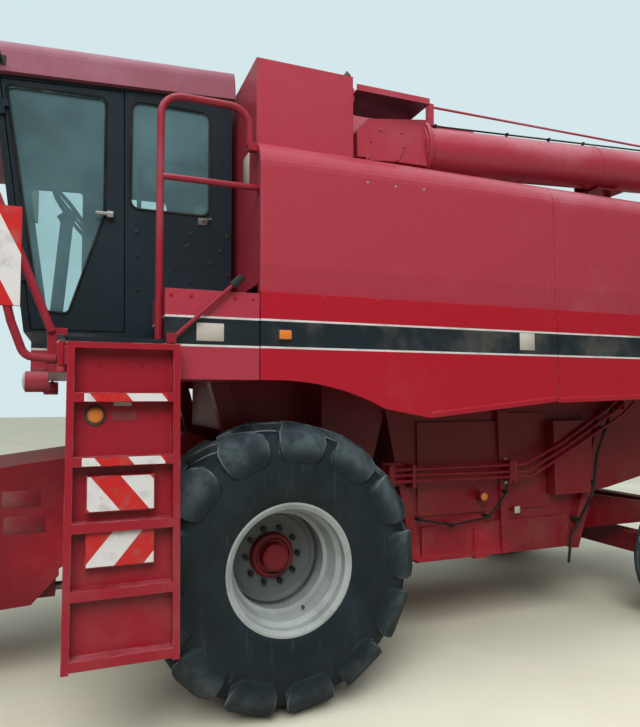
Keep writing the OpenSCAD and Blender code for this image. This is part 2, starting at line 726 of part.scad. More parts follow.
// Fixed panes
module cab_glass() color([0.5, 0.6, 0.6, 0.4]) placed() {
    t = 8;
    pane_y = cab_half_w - 20;
    xz_plate(side_window(-seat_gap), pane_y, pane_y + t);
    xz_plate(side_window(-seat_gap), -pane_y - t, -pane_y);
    xz_plate(right_window(-seat_gap), -pane_y - t, -pane_y);
    xz_plate([[cab_front_at(2260) - 24, 2260.3], [cab_front_at(2260) - 16, 2260.3],
        [cab_front_at(3480) - 16, 3479.7], [cab_front_at(3480) - 24, 3479.7]],
        -cab_half_w + 70.3, cab_half_w - 70.3);
    box([cab_rear_x + 16, -600 + seat_gap, 2900 + seat_gap],
        [cab_rear_x + 24, 600 - seat_gap, 3400 - seat_gap]);
}

// Roof with its rounded edges, falling towards the front with the cab's top
module cab_roof() color("firebrick") placed() {
    half_w = cab_half_w + 40;
    r = 80;
    rear = -15;
    nose = 1640;
    front_t = roof_t + 24;
    profile = concat([[-half_w, 0], [half_w, 0]],
        arc([half_w - r, front_t - r], r, 0, 90, 6), arc([-half_w + r, front_t - r], r, 90, 180, 6));
    translate([cab_rear_x, 0, cab_wall_z]) rotate([0, atan(cab_fall), 0]) {
        intersection() {
            yz_beam(profile, rear, nose);
            xz_plate([[rear, 0], [nose, 0], [nose, 70], [nose - 90, front_t], [rear, roof_t]],
                -half_w - 10, half_w + 10);
        }
        // Work lamps under the front edge
        for (y = [-700, -350, 350, 700])
            box([1500, y - 80, -90], [1580, y + 80, 0]);
    }
}

// Door at the left, hinged at the front post
module cab_door() color([0.12, 0.12, 0.14]) placed() {
    difference() {
        xz_plate(door_outline(door_gap), cab_half_w - cab_wall, cab_half_w);
        xz_plate(door_window(0), cab_half_w - cab_wall - 1, cab_half_w + 1);
    }
    // Handle on its plate
    box([915, cab_half_w, 2760], [962, cab_half_w + 5, 2830]);
    box([922, cab_half_w, 2778], [957, cab_half_w + 34, 2812]);
    for (z = door_hinges)
        at_hinge(z) {
            translate([0, 0, 2]) cylinder(h = hinge_h - 2, r = hinge_pin_r);
            translate([0, 0, hinge_h + seat_gap]) cylinder(h = hinge_h, r = hinge_r);
            box([-hinge_leaf, -hinge_out - 4, hinge_h + seat_gap], [-3, hinge_r - 2, 2 * hinge_h]);
        }
}

// Pane of the door
module door_glass() color([0.5, 0.6, 0.6, 0.4]) placed()
    xz_plate(door_window(-seat_gap), cab_half_w - 24, cab_half_w - 16);

// Driver's seat: plinth, cushion and back with its head rest
module seat() color([0.2, 0.2, 0.22]) placed() translate([0, driver_y, cab_floor_z + cab_wall]) {
    box([480, -200, 0], [900, 200, 200]);
    box([440, -270, 200], [940, 270, 420]);
    xz_plate([[330, 420], [480, 420], [420, 1000], [320, 1000]], -250, 250);
    xz_plate([[316, 1000], [400, 1000], [380, 1160], [306, 1160]], -150, 150);
    // Arm rests
    both_sides() box([420, 275, 560], [760, 335, 620]);
    both_sides() box([420, 250, 520], [470, 335, 560]);
}

// Steering column, wheel, side console and display
module controls() color([0.15, 0.15, 0.16]) placed() {
    floor_z = cab_floor_z + cab_wall;
    wheel = [1150, driver_y, 3020];
    column_foot = [1250, driver_y, floor_z];
    translate(column_foot) cylinder(h = 60, d = 130);
    bar(column_foot + [0, 0, 50], wheel + [34, 0, -60], 84);
    translate(wheel) rotate([0, -52, 0]) {
        rotate_extrude() translate([190, 0]) circle(d = 28, $fn = 20);
        box([-190, -18, -8], [190, 18, 8]);
        box([-18, -190, -8], [18, 0, 8]);
        translate([0, 0, -90]) cylinder(h = 100, d = 90);
    }
    // Side console with its lever, and the display on its post
    box([500, -620, floor_z], [1050, -330, floor_z + 480]);
    bar([960, -430, floor_z + 470], [1010, -430, floor_z + 660], 36);
    bar([1000, -560, floor_z + 470], [1000, -560, floor_z + 720], 30);
    box([985, -680, floor_z + 700], [1015, -440, floor_z + 880]);
}

// Mirrors on arms at the front corners of the roof
module mirrors() color([0.1, 0.1, 0.1]) placed() both_sides() {
    arm_x = 1527;
    arm_z = 3590;
    roof_y = cab_half_w + 40;
    mirror_y = 1600;
    box([arm_x - 30, roof_y, arm_z - 26], [arm_x + 30, roof_y + 6, arm_z + 26]);
    bar_y(arm_x, arm_z, roof_y + 4, mirror_y, 24);
    translate([arm_x, mirror_y, 3400]) rotate([0, 0, 22]) box([-25, -110, 0], [25, 110, 310]);
}

// Engine block
module engine() color("dimgray") placed()
    box([-3300, -650, deck_z], [-2300, 150, deck_z + 640]);

// Engine deck, its side walls and the housing of the air screen
module engine_deck() color("firebrick") placed() {
    difference() {
        union() {
            box([sheet_rear_x, -(side_y - sheet_t), deck_z - deck_t], [tank_rear_x, side_y - sheet_t, deck_z]);
            box([sheet_rear_x, -body_half_w, body_top_z], [tank_rear_x, body_half_w, deck_z - deck_t]);
            box([screen_box_rear, -side_y + 6, 2420], [screen_box_front, -1000, 3540]);
        }
        bar_y(screen_x, screen_z, -side_y - 10, -side_y + 80, 2 * screen_r + 2 * move_gap);
    }
    bar_y(screen_x, screen_z, -side_y + 20, -side_y + 90, 50);
}

// Rotating air screen at the right
module air_screen() color("gray") placed()
    difference() {
        bar_y(screen_x, screen_z, -side_y - 2, -side_y + 40, 2 * screen_r);
        bar_y(screen_x, screen_z, -side_y + 10, -side_y + 60, 50 + 2 * run_fit);
    }

// Exhaust stack and air cleaner
module exhaust() color("dimgray") placed() {
    translate([-2050, -500, deck_z]) cylinder(h = 700, d = 180);
    translate([-2050, 300, deck_z]) cylinder(h = 480, d = 320);
}

// Rear hood
module rear_hood() color("firebrick") placed() {
    half_w = 880;
    r = 140;
    profile = concat([[-half_w, hood_bottom_z], [half_w, hood_bottom_z]],
        arc([half_w - r, deck_z - r], r, 0, 90, 6), arc([-half_w + r, deck_z - r], r, 90, 180, 6));
    intersection() {
        yz_beam(profile, hood_rear_x, sheet_rear_x);
        xz_plate([[sheet_rear_x, 1420], [sheet_rear_x, deck_z], [-4300, deck_z], [hood_rear_x, 2300],
            [hood_rear_x, 1420]], -1000, 1000);
    }
    both_sides() translate([spreader_x, spreader_y, hood_bottom_z - 160]) cylinder(h = 160, d = 50);
}

// Straw spreader rotor at the left
module spreader_shape() color("silver")
    difference() {
        union() {
            translate([spreader_x, spreader_y, hood_bottom_z - 170]) cylinder(h = 14, r = spreader_r);
            translate([spreader_x, spreader_y, hood_bottom_z - 170]) cylinder(h = 100, r = 60);
            for (a = [0:60:300])
                translate([spreader_x, spreader_y, hood_bottom_z - 220]) rotate([0, 0, a + 30])
                    translate([130, -5, 0]) cube([spreader_r - 140, 10, 55]);
        }
        translate([spreader_x, spreader_y, hood_bottom_z - 160]) cylinder(h = 200, r = 25 + run_fit);
    }
module spreader_left() placed() spreader_shape();
module spreader_right() placed() mirror([0, 1, 0]) spreader_shape();

// Clean grain elevator at the right
module grain_elevator() color("firebrick") placed()
    xz_plate([[elevator_x[0] - elevator_w, elevator_z[0]], [elevator_x[0], elevator_z[0]],
        [elevator_x[1], elevator_z[1]], [elevator_x[1] - elevator_w, elevator_z[1]]],
        -body_half_w - 290, -body_half_w - post_t);

// Lattice rest under the unloading tube, standing on the deck
module auger_rest() color("firebrick") placed() {
    x0 = -2770;
    x1 = -2510;
    y0 = swing_y - 100;
    y1 = swing_y - 60;
    top_z = unloader_z + (flange_x - x1) * tan(unloader_rise) - unloader_d / 2 / cos(unloader_rise) - 8;
    for (x = [x0, x1 - 30])
        box([x, y0, deck_z], [x + 30, y1, top_z]);
    for (a = [[x0 + 15, x1 - 15], [x1 - 15, x0 + 15]])
        bar([a[0], (y0 + y1) / 2, deck_z + 40], [a[1], (y0 + y1) / 2, top_z - 40], 22);
    box([x0, y0, deck_z + 100], [x1, y1, deck_z + 130]);
    box([x0, y0, top_z - 12], [x1, swing_y + 60, top_z]);
    // Stop at the inner side of the tube
    box([x0, y0 - 60, top_z - 12], [x1, y0 + 1, top_z]);
    box([x0, y0 - 72, top_z - 12], [x1, y0 - 59, top_z + 70]);
}

// Stands a drawing with its axis along Z on the tube's axis, at the flange; +X there points up
module on_tube() translate([flange_x, swing_y, unloader_z]) rotate([0, -90 + unloader_rise, 0]) children();

// Unloader: elbow with its cover, flange, tube, spout and stay
module unloader() color("firebrick") placed() {
    r = unloader_d / 2;
    spout_drop = r + 120;
    // The spout's lower rear corner is the rear end of the whole machine
    len = (flange_x - unloader_tip_x - spout_drop * sin(unloader_rise)) / cos(unloader_rise) - 100;
    rod_z = [3707, 3737];
    rod_x = [-1095, -4330];
    cover = [[134, 3206], [118, 3330], [42, 3424], [-136, 3434], [-150, 3330], [-94, 3228]];
    difference() {
        union() {
            translate([swing_x, swing_y, shoulder_z + collar_h + seat_gap]) cylinder(h = 170, r = 136);
            intersection() {
                xz_plate([[swing_x + elbow_reach, 3225], [swing_x + elbow_reach, 3385], [swing_x + 114, 3475],
                    [flange_x, 3538], [flange_x, 3232]], swing_y - elbow_w, swing_y + elbow_w);
                // The inner corner is cut so that it clears the tank's wall as it swings
                translate([swing_x, swing_y, 3200]) linear_extrude(400)
                    polygon([[elbow_reach, elbow_w], [elbow_reach, -60], [120, -elbow_w], [-320, -elbow_w],
                        [-320, elbow_w]]);
            }
            translate([swing_x, 0, 0]) xz_plate(cover, swing_y + elbow_w - 1, swing_y + elbow_w + 8);
            on_tube() {
                translate([0, 0, -20]) cylinder(h = len + 20, r = r);
                cylinder(h = 30, r = flange_r);
                translate([0, 0, -16]) cylinder(h = 17, r = r + 20);
                for (i = [0:11])
                    rotate([0, 0, i * 30 + 15]) translate([flange_r - 15, 0, 29]) cylinder(h = 13, d = 18);
                // Seams of the tube's sheets
                for (z = [1500, 3000])
                    translate([0, 0, z]) cylinder(h = 12, r = r + 3);
                translate([0, 0, len - 20]) box([-spout_drop, -r + 3, -150], [r, r - 3, 120]);
            }
            // Bolts near the cover's corners
            for (p = cover)
                bar_y(swing_x + p[0] * 0.86, 3330 + (p[1] - 3330) * 0.86,
                    swing_y + elbow_w + 7, swing_y + elbow_w + 15, 16);
            // Anchors of the stay rod
            box([rod_x[0] - 20, swing_y - 20, unloader_z + r - 15],
                [rod_x[0] + 20, swing_y + 20, rod_z[0] + 14]);
            box([rod_x[1] - 20, swing_y - 14, rod_z[1] - 30], [rod_x[1] + 20, swing_y + 14, rod_z[1] + 14]);
        }
        // Mouth of the spout
        on_tube() translate([0, 0, len - 20]) box([-spout_drop - 10, -r + 23, -130], [r - 30, r - 23, 100]);
    }
    bar([rod_x[0], swing_y, rod_z[0]], [rod_x[1], swing_y, rod_z[1]], 16);
}

// Cable along the unloading tube, held by clips
module unloader_cable() color([0.1, 0.1, 0.1]) placed() {
    len = flange_x - unloader_tip_x - 700;
    side = 45;
    high = sqrt(pow(unloader_d / 2, 2) - side * side);
    on_tube() {
        translate([high + 16, side, 60]) cylinder(h = len, d = 12);
        for (z = [130, 720, 1094, 1420, 2100, 2700, 3300])
            translate([0, 0, z]) box([high + 3.5, side - 12, 0], [high + 26, side + 12, 14]);
    }
}

// Front wheel pieces, drawn at the left
module front_tyre() color([0.2, 0.2, 0.2]) {
    r = front_tyre_r;
    w = front_tyre_w / 2;
    f = front_rim_w / 2;
    rim = front_rim_r;
    low = r - lug_h;
    // Outer side of one half, from the bead to the middle of the tread
    half = [[rim - 22, f - 26], [rim + 4, f - 22], [rim + 6, f + 4], [rim + 60, w - 16], [560, w - 5],
        [r - 125, w - 14], [low - 34, w - 66], [low - 4, w - 140]];
    // Inner side of the casing
    inner = [[rim - 22, 170], [rim + 60, w - 60], [560, w - 40], [low - 50, w - 120]];
    turned(0, front_track_y, r, both_halves(half, inner));
    // Lugs, cut to the tyre's rounded outside; at the bottom of the wheel they point to the rear
    lug = [[-185, -25], [-95, -25], [110, 165], [190, w + 5], [-60, w + 5], [-20, 150]];
    intersection() {
        turned(0, front_track_y, r, both_halves(
            [[r - 175, w - 70], [r - 175, w - 3], [r - 120, w], [r - 30, w - 58], [r, w - 125]],
            [[low - 60, w - 110]]));
        translate([0, front_track_y, r])
            for (side = [0, 1])
                mirror([0, side, 0])
                    for (i = [0:lug_count - 1])
                        rotate([0, (i + side / 2) * 360 / lug_count, 0])
                            translate([0, 0, -r - 5]) linear_extrude(190) polygon(lug);
    }
}
module front_rim() color("silver") {
    f = front_rim_w / 2;
    r = front_rim_r;
    h = hub_face_y - front_track_y;
    hub = spindle_r + run_fit;
    // Channel, stepped cone and dished disc
    turned(0, front_track_y, front_tyre_r, [[r, -f], [r, -f + 14], [r - 24, -f + 20], [r - 24, -f + 70],
        [r - 44, -f + 92], [r - 44, f - 112], [r - 24, f - 70], [r - 24, f - 20], [r, f - 14], [r, f],
        [r - 12, f], [r - 36, f - 14], [r - 36, f - 66], [r - 58, f - 96], [r - 70, 60], [r - 92, 52], [r - 92, 30],
        [r - 76, 22], [r - 84, -70], [250, h + 26], [236, h + 14], [190, h + 2], [hub, h + 2], [hub, h - 14],
        [190, h - 14], [246, h - 2], [r - 62, h + 4], [r - 60, -f + 100], [r - 36, -f + 66], [r - 36, -f + 14],
        [r - 12, -f]]);
    // Hub with its raised ring and cap
    turned(0, front_track_y, front_tyre_r, [[0, h + 62], [hub, h + 62], [hub, h + 1], [128, h + 1], [128, h + 34],
        [118, h + 40], [104, h + 40], [98, h + 28], [82, h + 28], [78, h + 96], [64, h + 104], [0, h + 104]]);
    for (i = [0:9])
        translate([0, hub_face_y + 1, front_tyre_r]) rotate([0, i * 36, 0]) translate([160, 0, 0])
            rotate([-90, 0, 0]) cylinder(h = 27, d = 34, $fn = 6);
}
module tyre_front_left() placed() front_tyre();
module tyre_front_right() placed() mirror([0, 1, 0]) front_tyre();
module rim_front_left() placed() front_rim();
module rim_front_right() placed() mirror([0, 1, 0]) front_rim();

// Rear wheel pieces, drawn at the left
module rear_tyre() color([0.2, 0.2, 0.2]) {
    r = rear_tyre_r;
    w = rear_tyre_w / 2;
    rim = rear_rim_r;
    low = r - 14;
    half = [[rim - 16, 104], [rim + 4, 108], [rim + 6, 134], [rim + 44, w - 6], [r - 120, w], [r - 42, w - 12],
        [r - 10, w - 36], [r, w - 60], [r, 72], [low, 68], [low, 54], [r, 50], [r, 10], [low, 6]];
    inner = [[rim - 16, 84], [rim + 44, w - 34], [r - 60, w - 50]];
    turned(rear_x, rear_track_y, r, both_halves(half, inner));
}
module rear_rim() color("silver") {
    f = 130;
    r = rear_rim_r;
    hub = rear_spindle_r + run_fit;
    turned(rear_x, rear_track_y, rear_tyre_r, [[r, -f], [r, -f + 12], [r - 18, -f + 16], [r - 18, -f + 50],
        [r - 34, -f + 66], [r - 34, f - 66], [r - 18, f - 50], [r - 18, f - 16], [r, f - 12], [r, f], [r - 10, f],
        [r - 30, f - 12], [r - 30, f - 46], [r - 46, f - 64], [r - 46, 52], [190, 44], [150, 44], [120, 36],
        [hub, 36], [hub, 22], [122, 22], [150, 30], [190, 30], [r - 46, 24], [r - 46, -f + 64], [r - 30, -f + 46],
        [r - 30, -f + 12], [r - 10, -f]]);
    turned(rear_x, rear_track_y, rear_tyre_r, [[0, 72], [hub, 72], [hub, 35], [70, 35], [60, 90], [0, 96]]);
    for (i = [0:7])
        translate([rear_x, rear_track_y + 35, rear_tyre_r]) rotate([0, i * 45, 0]) translate([95, 0, 0])
            rotate([-90, 0, 0]) cylinder(h = 20, d = 26, $fn = 6);
}
module tyre_rear_left() placed() rear_tyre();
module tyre_rear_right() placed() mirror([0, 1, 0]) rear_tyre();
module rim_rear_left() placed() rear_rim();
module rim_rear_right() placed() mirror([0, 1, 0]) rear_rim();

// Feeder house with its open front, side plates and conveyor drums
module feeder_house() color("firebrick") placed() {
    p = feeder_pivot;
    r = feeder_drum_r;
    w = feeder_wall;
    x1 = feeder_front_x;
    outline = [[p[0], p[1] + r], [1156, 1368], [x1, 1210], [x1, 460], [1470, 550], [1320, 570], [1180, 700],
        [p[0], p[1] - r]];
    hollow = [[p[0] + 60, p[1] + r - 40], [1156, 1368 - w], [x1 + 1, 1210 - w - 10], [x1 + 1, 460 + w],
        [1470, 550 + w], [1330, 570 + w], [1190, 700 + w], [p[0] + 60, p[1] - r + 40]];
    difference() {
        union() {
            xz_plate(outline, -feeder_half_w, feeder_half_w);
            bar_y(p[0], p[1], -feeder_half_w, feeder_half_w, 2 * r);
            bar_y(p[0], p[1], -post_in + 10, post_in - 10, 2 * feeder_pin_r);
            // Flange of the front face
            box([x1 - 40, -feeder_half_w - 50, 420], [x1, feeder_half_w + 50, 1250]);
            both_sides() {
                // Side plate, deeper than the floor
                xz_plate([[1180, 720], [1180, 660], [1331, 500], [1490, 491], [x1, 440], [x1, 500]],
                    feeder_half_w - w, feeder_half_w);
                // Stiffeners of the side
                for (x = [1560, 2060])
                    box([x, feeder_half_w - 1, 520], [x + 40, feeder_half_w + 24, 1200]);
                for (s = [-1, 1])
                    box([lift_eye[0] - 50, lift_y + s * 44 - 10, lift_eye[1] - 50],
                        [lift_eye[0] + 50, lift_y + s * 44 + 10, 700]);
            }
        }
        xz_plate(hollow, -feeder_half_w + w, feeder_half_w - w);
    }
    for (c = [chain_front, chain_rear])
        bar_y(c[0], c[1], -feeder_half_w + w - 1, feeder_half_w - w + 1, 2 * chain_drum_r);
    both_sides() bar_y(lift_eye[0], lift_eye[1], lift_y - 54, lift_y + 54, 2 * lift_pin_r);
}

// Outline of a chain strand that lies g outside the drums, drawn in X and Z
function chain_loop(g) =
    let (a = atan2(chain_rear[1] - chain_front[1], chain_rear[0] - chain_front[0]),
        r = (chain_drum_r + seat_gap + g) / cos(7.5))
    concat(arc(chain_front, r, a + 90, a + 270, 12), arc(chain_rear, r, a - 90, a + 90, 12));

// Slatted chain conveyor: two chain strands and the slats they carry
module feeder_chain() color("dimgray") placed() {
    way = chain_rear - chain_front;
    length = norm(way);
    tilt = atan2(way[1], way[0]);
    run = chain_drum_r + seat_gap + chain_t;
    both_sides() difference() {
        xz_plate(chain_loop(chain_t), chain_y - 15, chain_y + 15);
        xz_plate(chain_loop(0), chain_y - 16, chain_y + 16);
    }
    // Slats on both runs of the chain, then round the front drum
    translate([chain_front[0], 0, chain_front[1]]) rotate([0, -tilt, 0]) {
        for (i = [0:floor(length / slat_pitch)])
            translate([i * slat_pitch, 0, 0]) slat(run);
        for (x = [slat_pitch / 2:slat_pitch:length])
            translate([x, 0, 0]) mirror([0, 0, 1]) slat(run);
        for (a = [-115, 180])
            rotate([0, a, 0]) slat(run);
    }
}

// Slat of the chain: a strip with an upright fin, at height z
module slat(z) {
    half_y = chain_y + 40;
    box([-22, -half_y, z - 2], [22, half_y, z + 4]);
    box([-3, -half_y, z], [3, half_y, z + 26]);
}

// Barrels of the two lift cylinders
module lift_barrels() color("firebrick") placed() both_sides() {
    difference() {
        union() {
            bar([lift_base[0] + 50, lift_y, lift_base[1]], [lift_base[0] + 640, lift_y, lift_base[1]], 90);
            bar_y(lift_base[0], lift_base[1], lift_y - 34, lift_y + 34, 84);
            bar([lift_base[0], lift_y, lift_base[1]], [lift_base[0] + 60, lift_y, lift_base[1]], 60);
        }
        bar_y(lift_base[0], lift_base[1], lift_y - 60, lift_y + 60, 2 * lift_pin_r + 2 * run_fit);
        bar([lift_base[0] + 90, lift_y, lift_base[1]], [lift_base[0] + 700, lift_y, lift_base[1]], 50 + 2 * run_fit);
    }
}

// Rods of the two lift cylinders
module lift_rods() color("silver") placed() both_sides()
    difference() {
        union() {
            bar([lift_base[0] + 420, lift_y, lift_base[1]], [lift_eye[0] - 30, lift_y, lift_eye[1]], 50);
            bar_y(lift_eye[0], lift_eye[1], lift_y - 28, lift_y + 28, 90);
        }
        bar_y(lift_eye[0], lift_eye[1], lift_y - 60, lift_y + 60, 2 * lift_pin_r + 20);
    }

// Ladder: stiles, back plate, steps with turned-down lips and two stiffening trays
module ladder() color("firebrick") placed() {
    h = (ladder_top_z - ladder_bottom_z) / cos(ladder_lean);
    stile_w = 34;
    depth = 80;
    first = 55;
    steps = 5;
    pitch = (h - first - 240) / (steps - 1);
    tray_out = 55;
    // Height of a tray's bottom and top, measured from the ladder's top
    trays = [[-1046, -877], [-796, -629]];
    translate([0, side_y + 18, ladder_top_z]) rotate([ladder_lean, 0, 0]) {
        for (x = [ladder_rear_x, ladder_front_x - stile_w])
            box([x, 0, -h], [x + stile_w, depth, 0]);
        box([ladder_rear_x, 0, -h], [ladder_front_x, 6, 0]);
        for (i = [0:steps - 1]) {
            top = -h + first + i * pitch;
            box([ladder_rear_x, 0, top - 8], [ladder_front_x, depth, top]);
            box([ladder_rear_x, depth - 6, top - 45], [ladder_front_x, depth, top]);
        }
        box([ladder_rear_x, 0, -30], [ladder_front_x, depth, 0]);
        for (t = trays) {
            box([745, tray_out - 6, t[0]], [1054, tray_out, t[1]]);
            for (x = [745, 1048])
                box([x, 5, t[0]], [x + 6, tray_out, t[1]]);
        }
    }
    translate([ladder_pin[0], ladder_pin[1], 1858]) cylinder(h = 180, r = ladder_pin_r);
    translate([ladder_pin[0], ladder_pin[1], 1890]) cylinder(h = 115, r = lug_r);
    box([ladder_front_x - 34, ladder_pin[1] - 8, 1895], [ladder_pin[0], ladder_pin[1] + 12, 1985]);
}

// Hydraulic lines along the left side: valve block, three pipes and their clamps
module side_lines() color("firebrick") placed() {
    face = body_half_w + post_t;
    block_x = [-890, -850];
    // Pipes from the valve block to the rear, in X and Z
    routes = [
        [[block_x[0], 1247], [-1980, 1244], [-2321, 1381], [-2821, 1654], [-2960, 1760]],
        [[block_x[0], 1210], [-2006, 1192], [-2320, 1332], [-2900, 1637], [-3020, 1730]],
        [[block_x[0], 1168], [-2042, 1156], [-2318, 1281], [-2960, 1600], [-3090, 1700]]];
    for (route = routes)
        upright(pipe_y) bent_tube(route, 60, pipe_d);
    box([block_x[0] - 2, face + 12, 1142], [block_x[1], pipe_y + 20, 1278]);
    // Clamps: place, bottom and top
    for (c = [[-1044, 1120, 1275], [-1853, 1125, 1275], [-1888, 1118, 1272]])
        box([c[0] - 14, face, c[1]], [c[0] + 14, pipe_y + 16, c[2]]);
    // Hanger of the rear ends
    box([-2990, body_half_w, 1640], [-2960, pipe_y + 16, 1790]);
}

// Cable and hose along the left side, held by clips
module harness() color([0.1, 0.1, 0.1]) placed() {
    face = body_half_w + post_t;
    upright(cable_y)
        bent_tube([[-1100, 897], [-1377, 840], [-1692, 874], [-1846, 1044], [-1850, 1100]], 80, cable_d);
    upright(hose_y)
        bent_tube([[-2880, 1650], [-2712, 1287], [-2680, 1094], [-2652, 980], [-2430, 670], [-2402, 483]],
            60, hose_d);
    // Clips of the cable: place, height, face they sit on
    for (c = [[-1120, 893, body_half_w], [-1377, 838, body_half_w], [-1692, 876, body_half_w], [-1846, 1044, face]])
        box([c[0] - 9, c[2], c[1] - 10], [c[0] + 9, cable_y + 10, c[1] + 10]);
    // Clips of the hose: place, height, face they sit on
    for (c = [[-2800, 1487, face], [-2676, 1070, face], [-2519, 794, body_half_w]])
        box([c[0] - 9, c[2], c[1] - 16], [c[0] + 9, hose_y + 15, c[1] + 16]);
}

frame();
front_axle();
rear_axle();
separator_body();
side_left();
side_right();
shield_left();
shield_right();
platform();
handrails();
grain_tank();
tank_augers();
tank_cover();
cab_shell();
cab_roof();
cab_glass();
seat();
controls();
mirrors();
engine();
engine_deck();
exhaust();
rear_hood();
grain_elevator();
auger_rest();
tyre_front_left();
tyre_front_right();
rim_front_left();
rim_front_right();
tyre_rear_left();
tyre_rear_right();
rim_rear_left();
rim_rear_right();
knuckle_left();
knuckle_right();
tie_rod();
feeder_house();
lift_barrels();
lift_rods();
cab_door();
door_glass();
ladder();
unloader();
air_screen();
spreader_left();
spreader_right();
side_lines();
harness();
feeder_chain();
unloader_cable();
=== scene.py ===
"""Looks of the combine harvester.

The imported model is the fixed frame. Each sub-assembly is a class that builds its finer pieces and dresses its
nodes with procedural finishes. Sizes are metres in the frame; places are given from the front axle, which is
where the machine's drawing has its zero, and are shifted into the frame by Drawing.
"""

from __future__ import annotations

import json
import logging
import math
from dataclasses import dataclass
from enum import Enum
from typing import Sequence

import bmesh
import bpy
from mathutils import Matrix, Vector

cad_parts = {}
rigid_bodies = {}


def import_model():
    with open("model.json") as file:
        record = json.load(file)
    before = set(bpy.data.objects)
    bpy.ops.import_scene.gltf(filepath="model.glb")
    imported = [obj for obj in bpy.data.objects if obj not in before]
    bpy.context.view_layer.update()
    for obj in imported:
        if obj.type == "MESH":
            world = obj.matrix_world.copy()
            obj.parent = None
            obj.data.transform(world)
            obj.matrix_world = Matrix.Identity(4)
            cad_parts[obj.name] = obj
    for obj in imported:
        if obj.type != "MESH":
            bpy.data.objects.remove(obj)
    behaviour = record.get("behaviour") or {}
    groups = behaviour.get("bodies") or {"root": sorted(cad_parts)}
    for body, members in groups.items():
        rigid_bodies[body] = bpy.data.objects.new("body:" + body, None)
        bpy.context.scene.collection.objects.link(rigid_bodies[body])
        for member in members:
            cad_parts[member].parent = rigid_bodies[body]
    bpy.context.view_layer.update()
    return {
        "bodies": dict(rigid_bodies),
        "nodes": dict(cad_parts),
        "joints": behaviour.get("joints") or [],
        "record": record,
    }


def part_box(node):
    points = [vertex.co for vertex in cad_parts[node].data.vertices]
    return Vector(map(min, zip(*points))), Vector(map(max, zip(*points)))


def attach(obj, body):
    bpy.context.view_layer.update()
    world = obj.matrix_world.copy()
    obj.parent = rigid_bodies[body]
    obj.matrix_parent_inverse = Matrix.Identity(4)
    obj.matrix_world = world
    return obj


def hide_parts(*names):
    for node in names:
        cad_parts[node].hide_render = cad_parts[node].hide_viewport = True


LOG = logging.getLogger("combine")
Colour = tuple[float, float, float]
Point = tuple[float, float, float]
MM = 0.001


class Side(Enum):
    """A side of the machine, its value the sign of Y there."""

    LEFT = 1
    RIGHT = -1

    @property
    def word(self) -> str:
        """The side's name as it stands in the names of nodes, bodies and pieces."""
        return self.name.lower()


@dataclass(frozen=True)
class Palette:
    """Base colours, in linear values."""

    red_faded: Colour = (0.42, 0.040, 0.066)
    red_chalk: Colour = (0.50, 0.125, 0.160)
    red_deep: Colour = (0.44, 0.008, 0.024)
    red_dark: Colour = (0.225, 0.004, 0.013)
    # The roof's pale, bluish pinks are partly chalked paint and partly a painted reflection of the sky.
    roof_red: Colour = (0.30, 0.095, 0.130)
    roof_chalk: Colour = (0.37, 0.170, 0.215)
    rail_red: Colour = (0.30, 0.014, 0.030)
    rail_faded: Colour = (0.38, 0.075, 0.105)
    ladder_red: Colour = (0.33, 0.009, 0.022)
    black_blue: Colour = (0.011, 0.020, 0.027)
    black_faded: Colour = (0.014, 0.032, 0.043)
    dust: Colour = (0.33, 0.29, 0.23)
    rust: Colour = (0.12, 0.045, 0.02)
    soot: Colour = (0.022, 0.012, 0.016)
    steel: Colour = (0.32, 0.31, 0.30)
    silver: Colour = (0.45, 0.49, 0.48)
    silver_dull: Colour = (0.20, 0.215, 0.21)
    silver_deep: Colour = (0.13, 0.14, 0.14)
    disc_grey: Colour = (0.100, 0.118, 0.118)
    disc_gap: Colour = (0.010, 0.012, 0.012)
    hub_red: Colour = (0.20, 0.008, 0.016)
    hub_worn: Colour = (0.09, 0.02, 0.022)
    nut_black: Colour = (0.006, 0.007, 0.008)
    rubber: Colour = (0.007, 0.014, 0.018)
    rubber_grey: Colour = (0.024, 0.040, 0.046)
    rubber_scuffed: Colour = (0.110, 0.145, 0.155)
    rubber_edge: Colour = (0.36, 0.40, 0.41)
    white: Colour = (0.72, 0.70, 0.68)
    amber: Colour = (0.75, 0.22, 0.03)
    warning_red: Colour = (0.55, 0.02, 0.02)


PALETTE = Palette()


@dataclass(frozen=True)
class Drawing:
    """Turns places of the drawing, in millimetres from the front axle, into the frame.

    Attributes:
        axle_x: place of the front axle along the frame's X, in metres.
    """

    axle_x: float

    def at(self, x: float, y: float, z: float) -> Vector:
        """Returns the frame's point for a point of the drawing in millimetres."""
        return Vector((x * MM + self.axle_x, y * MM, z * MM))


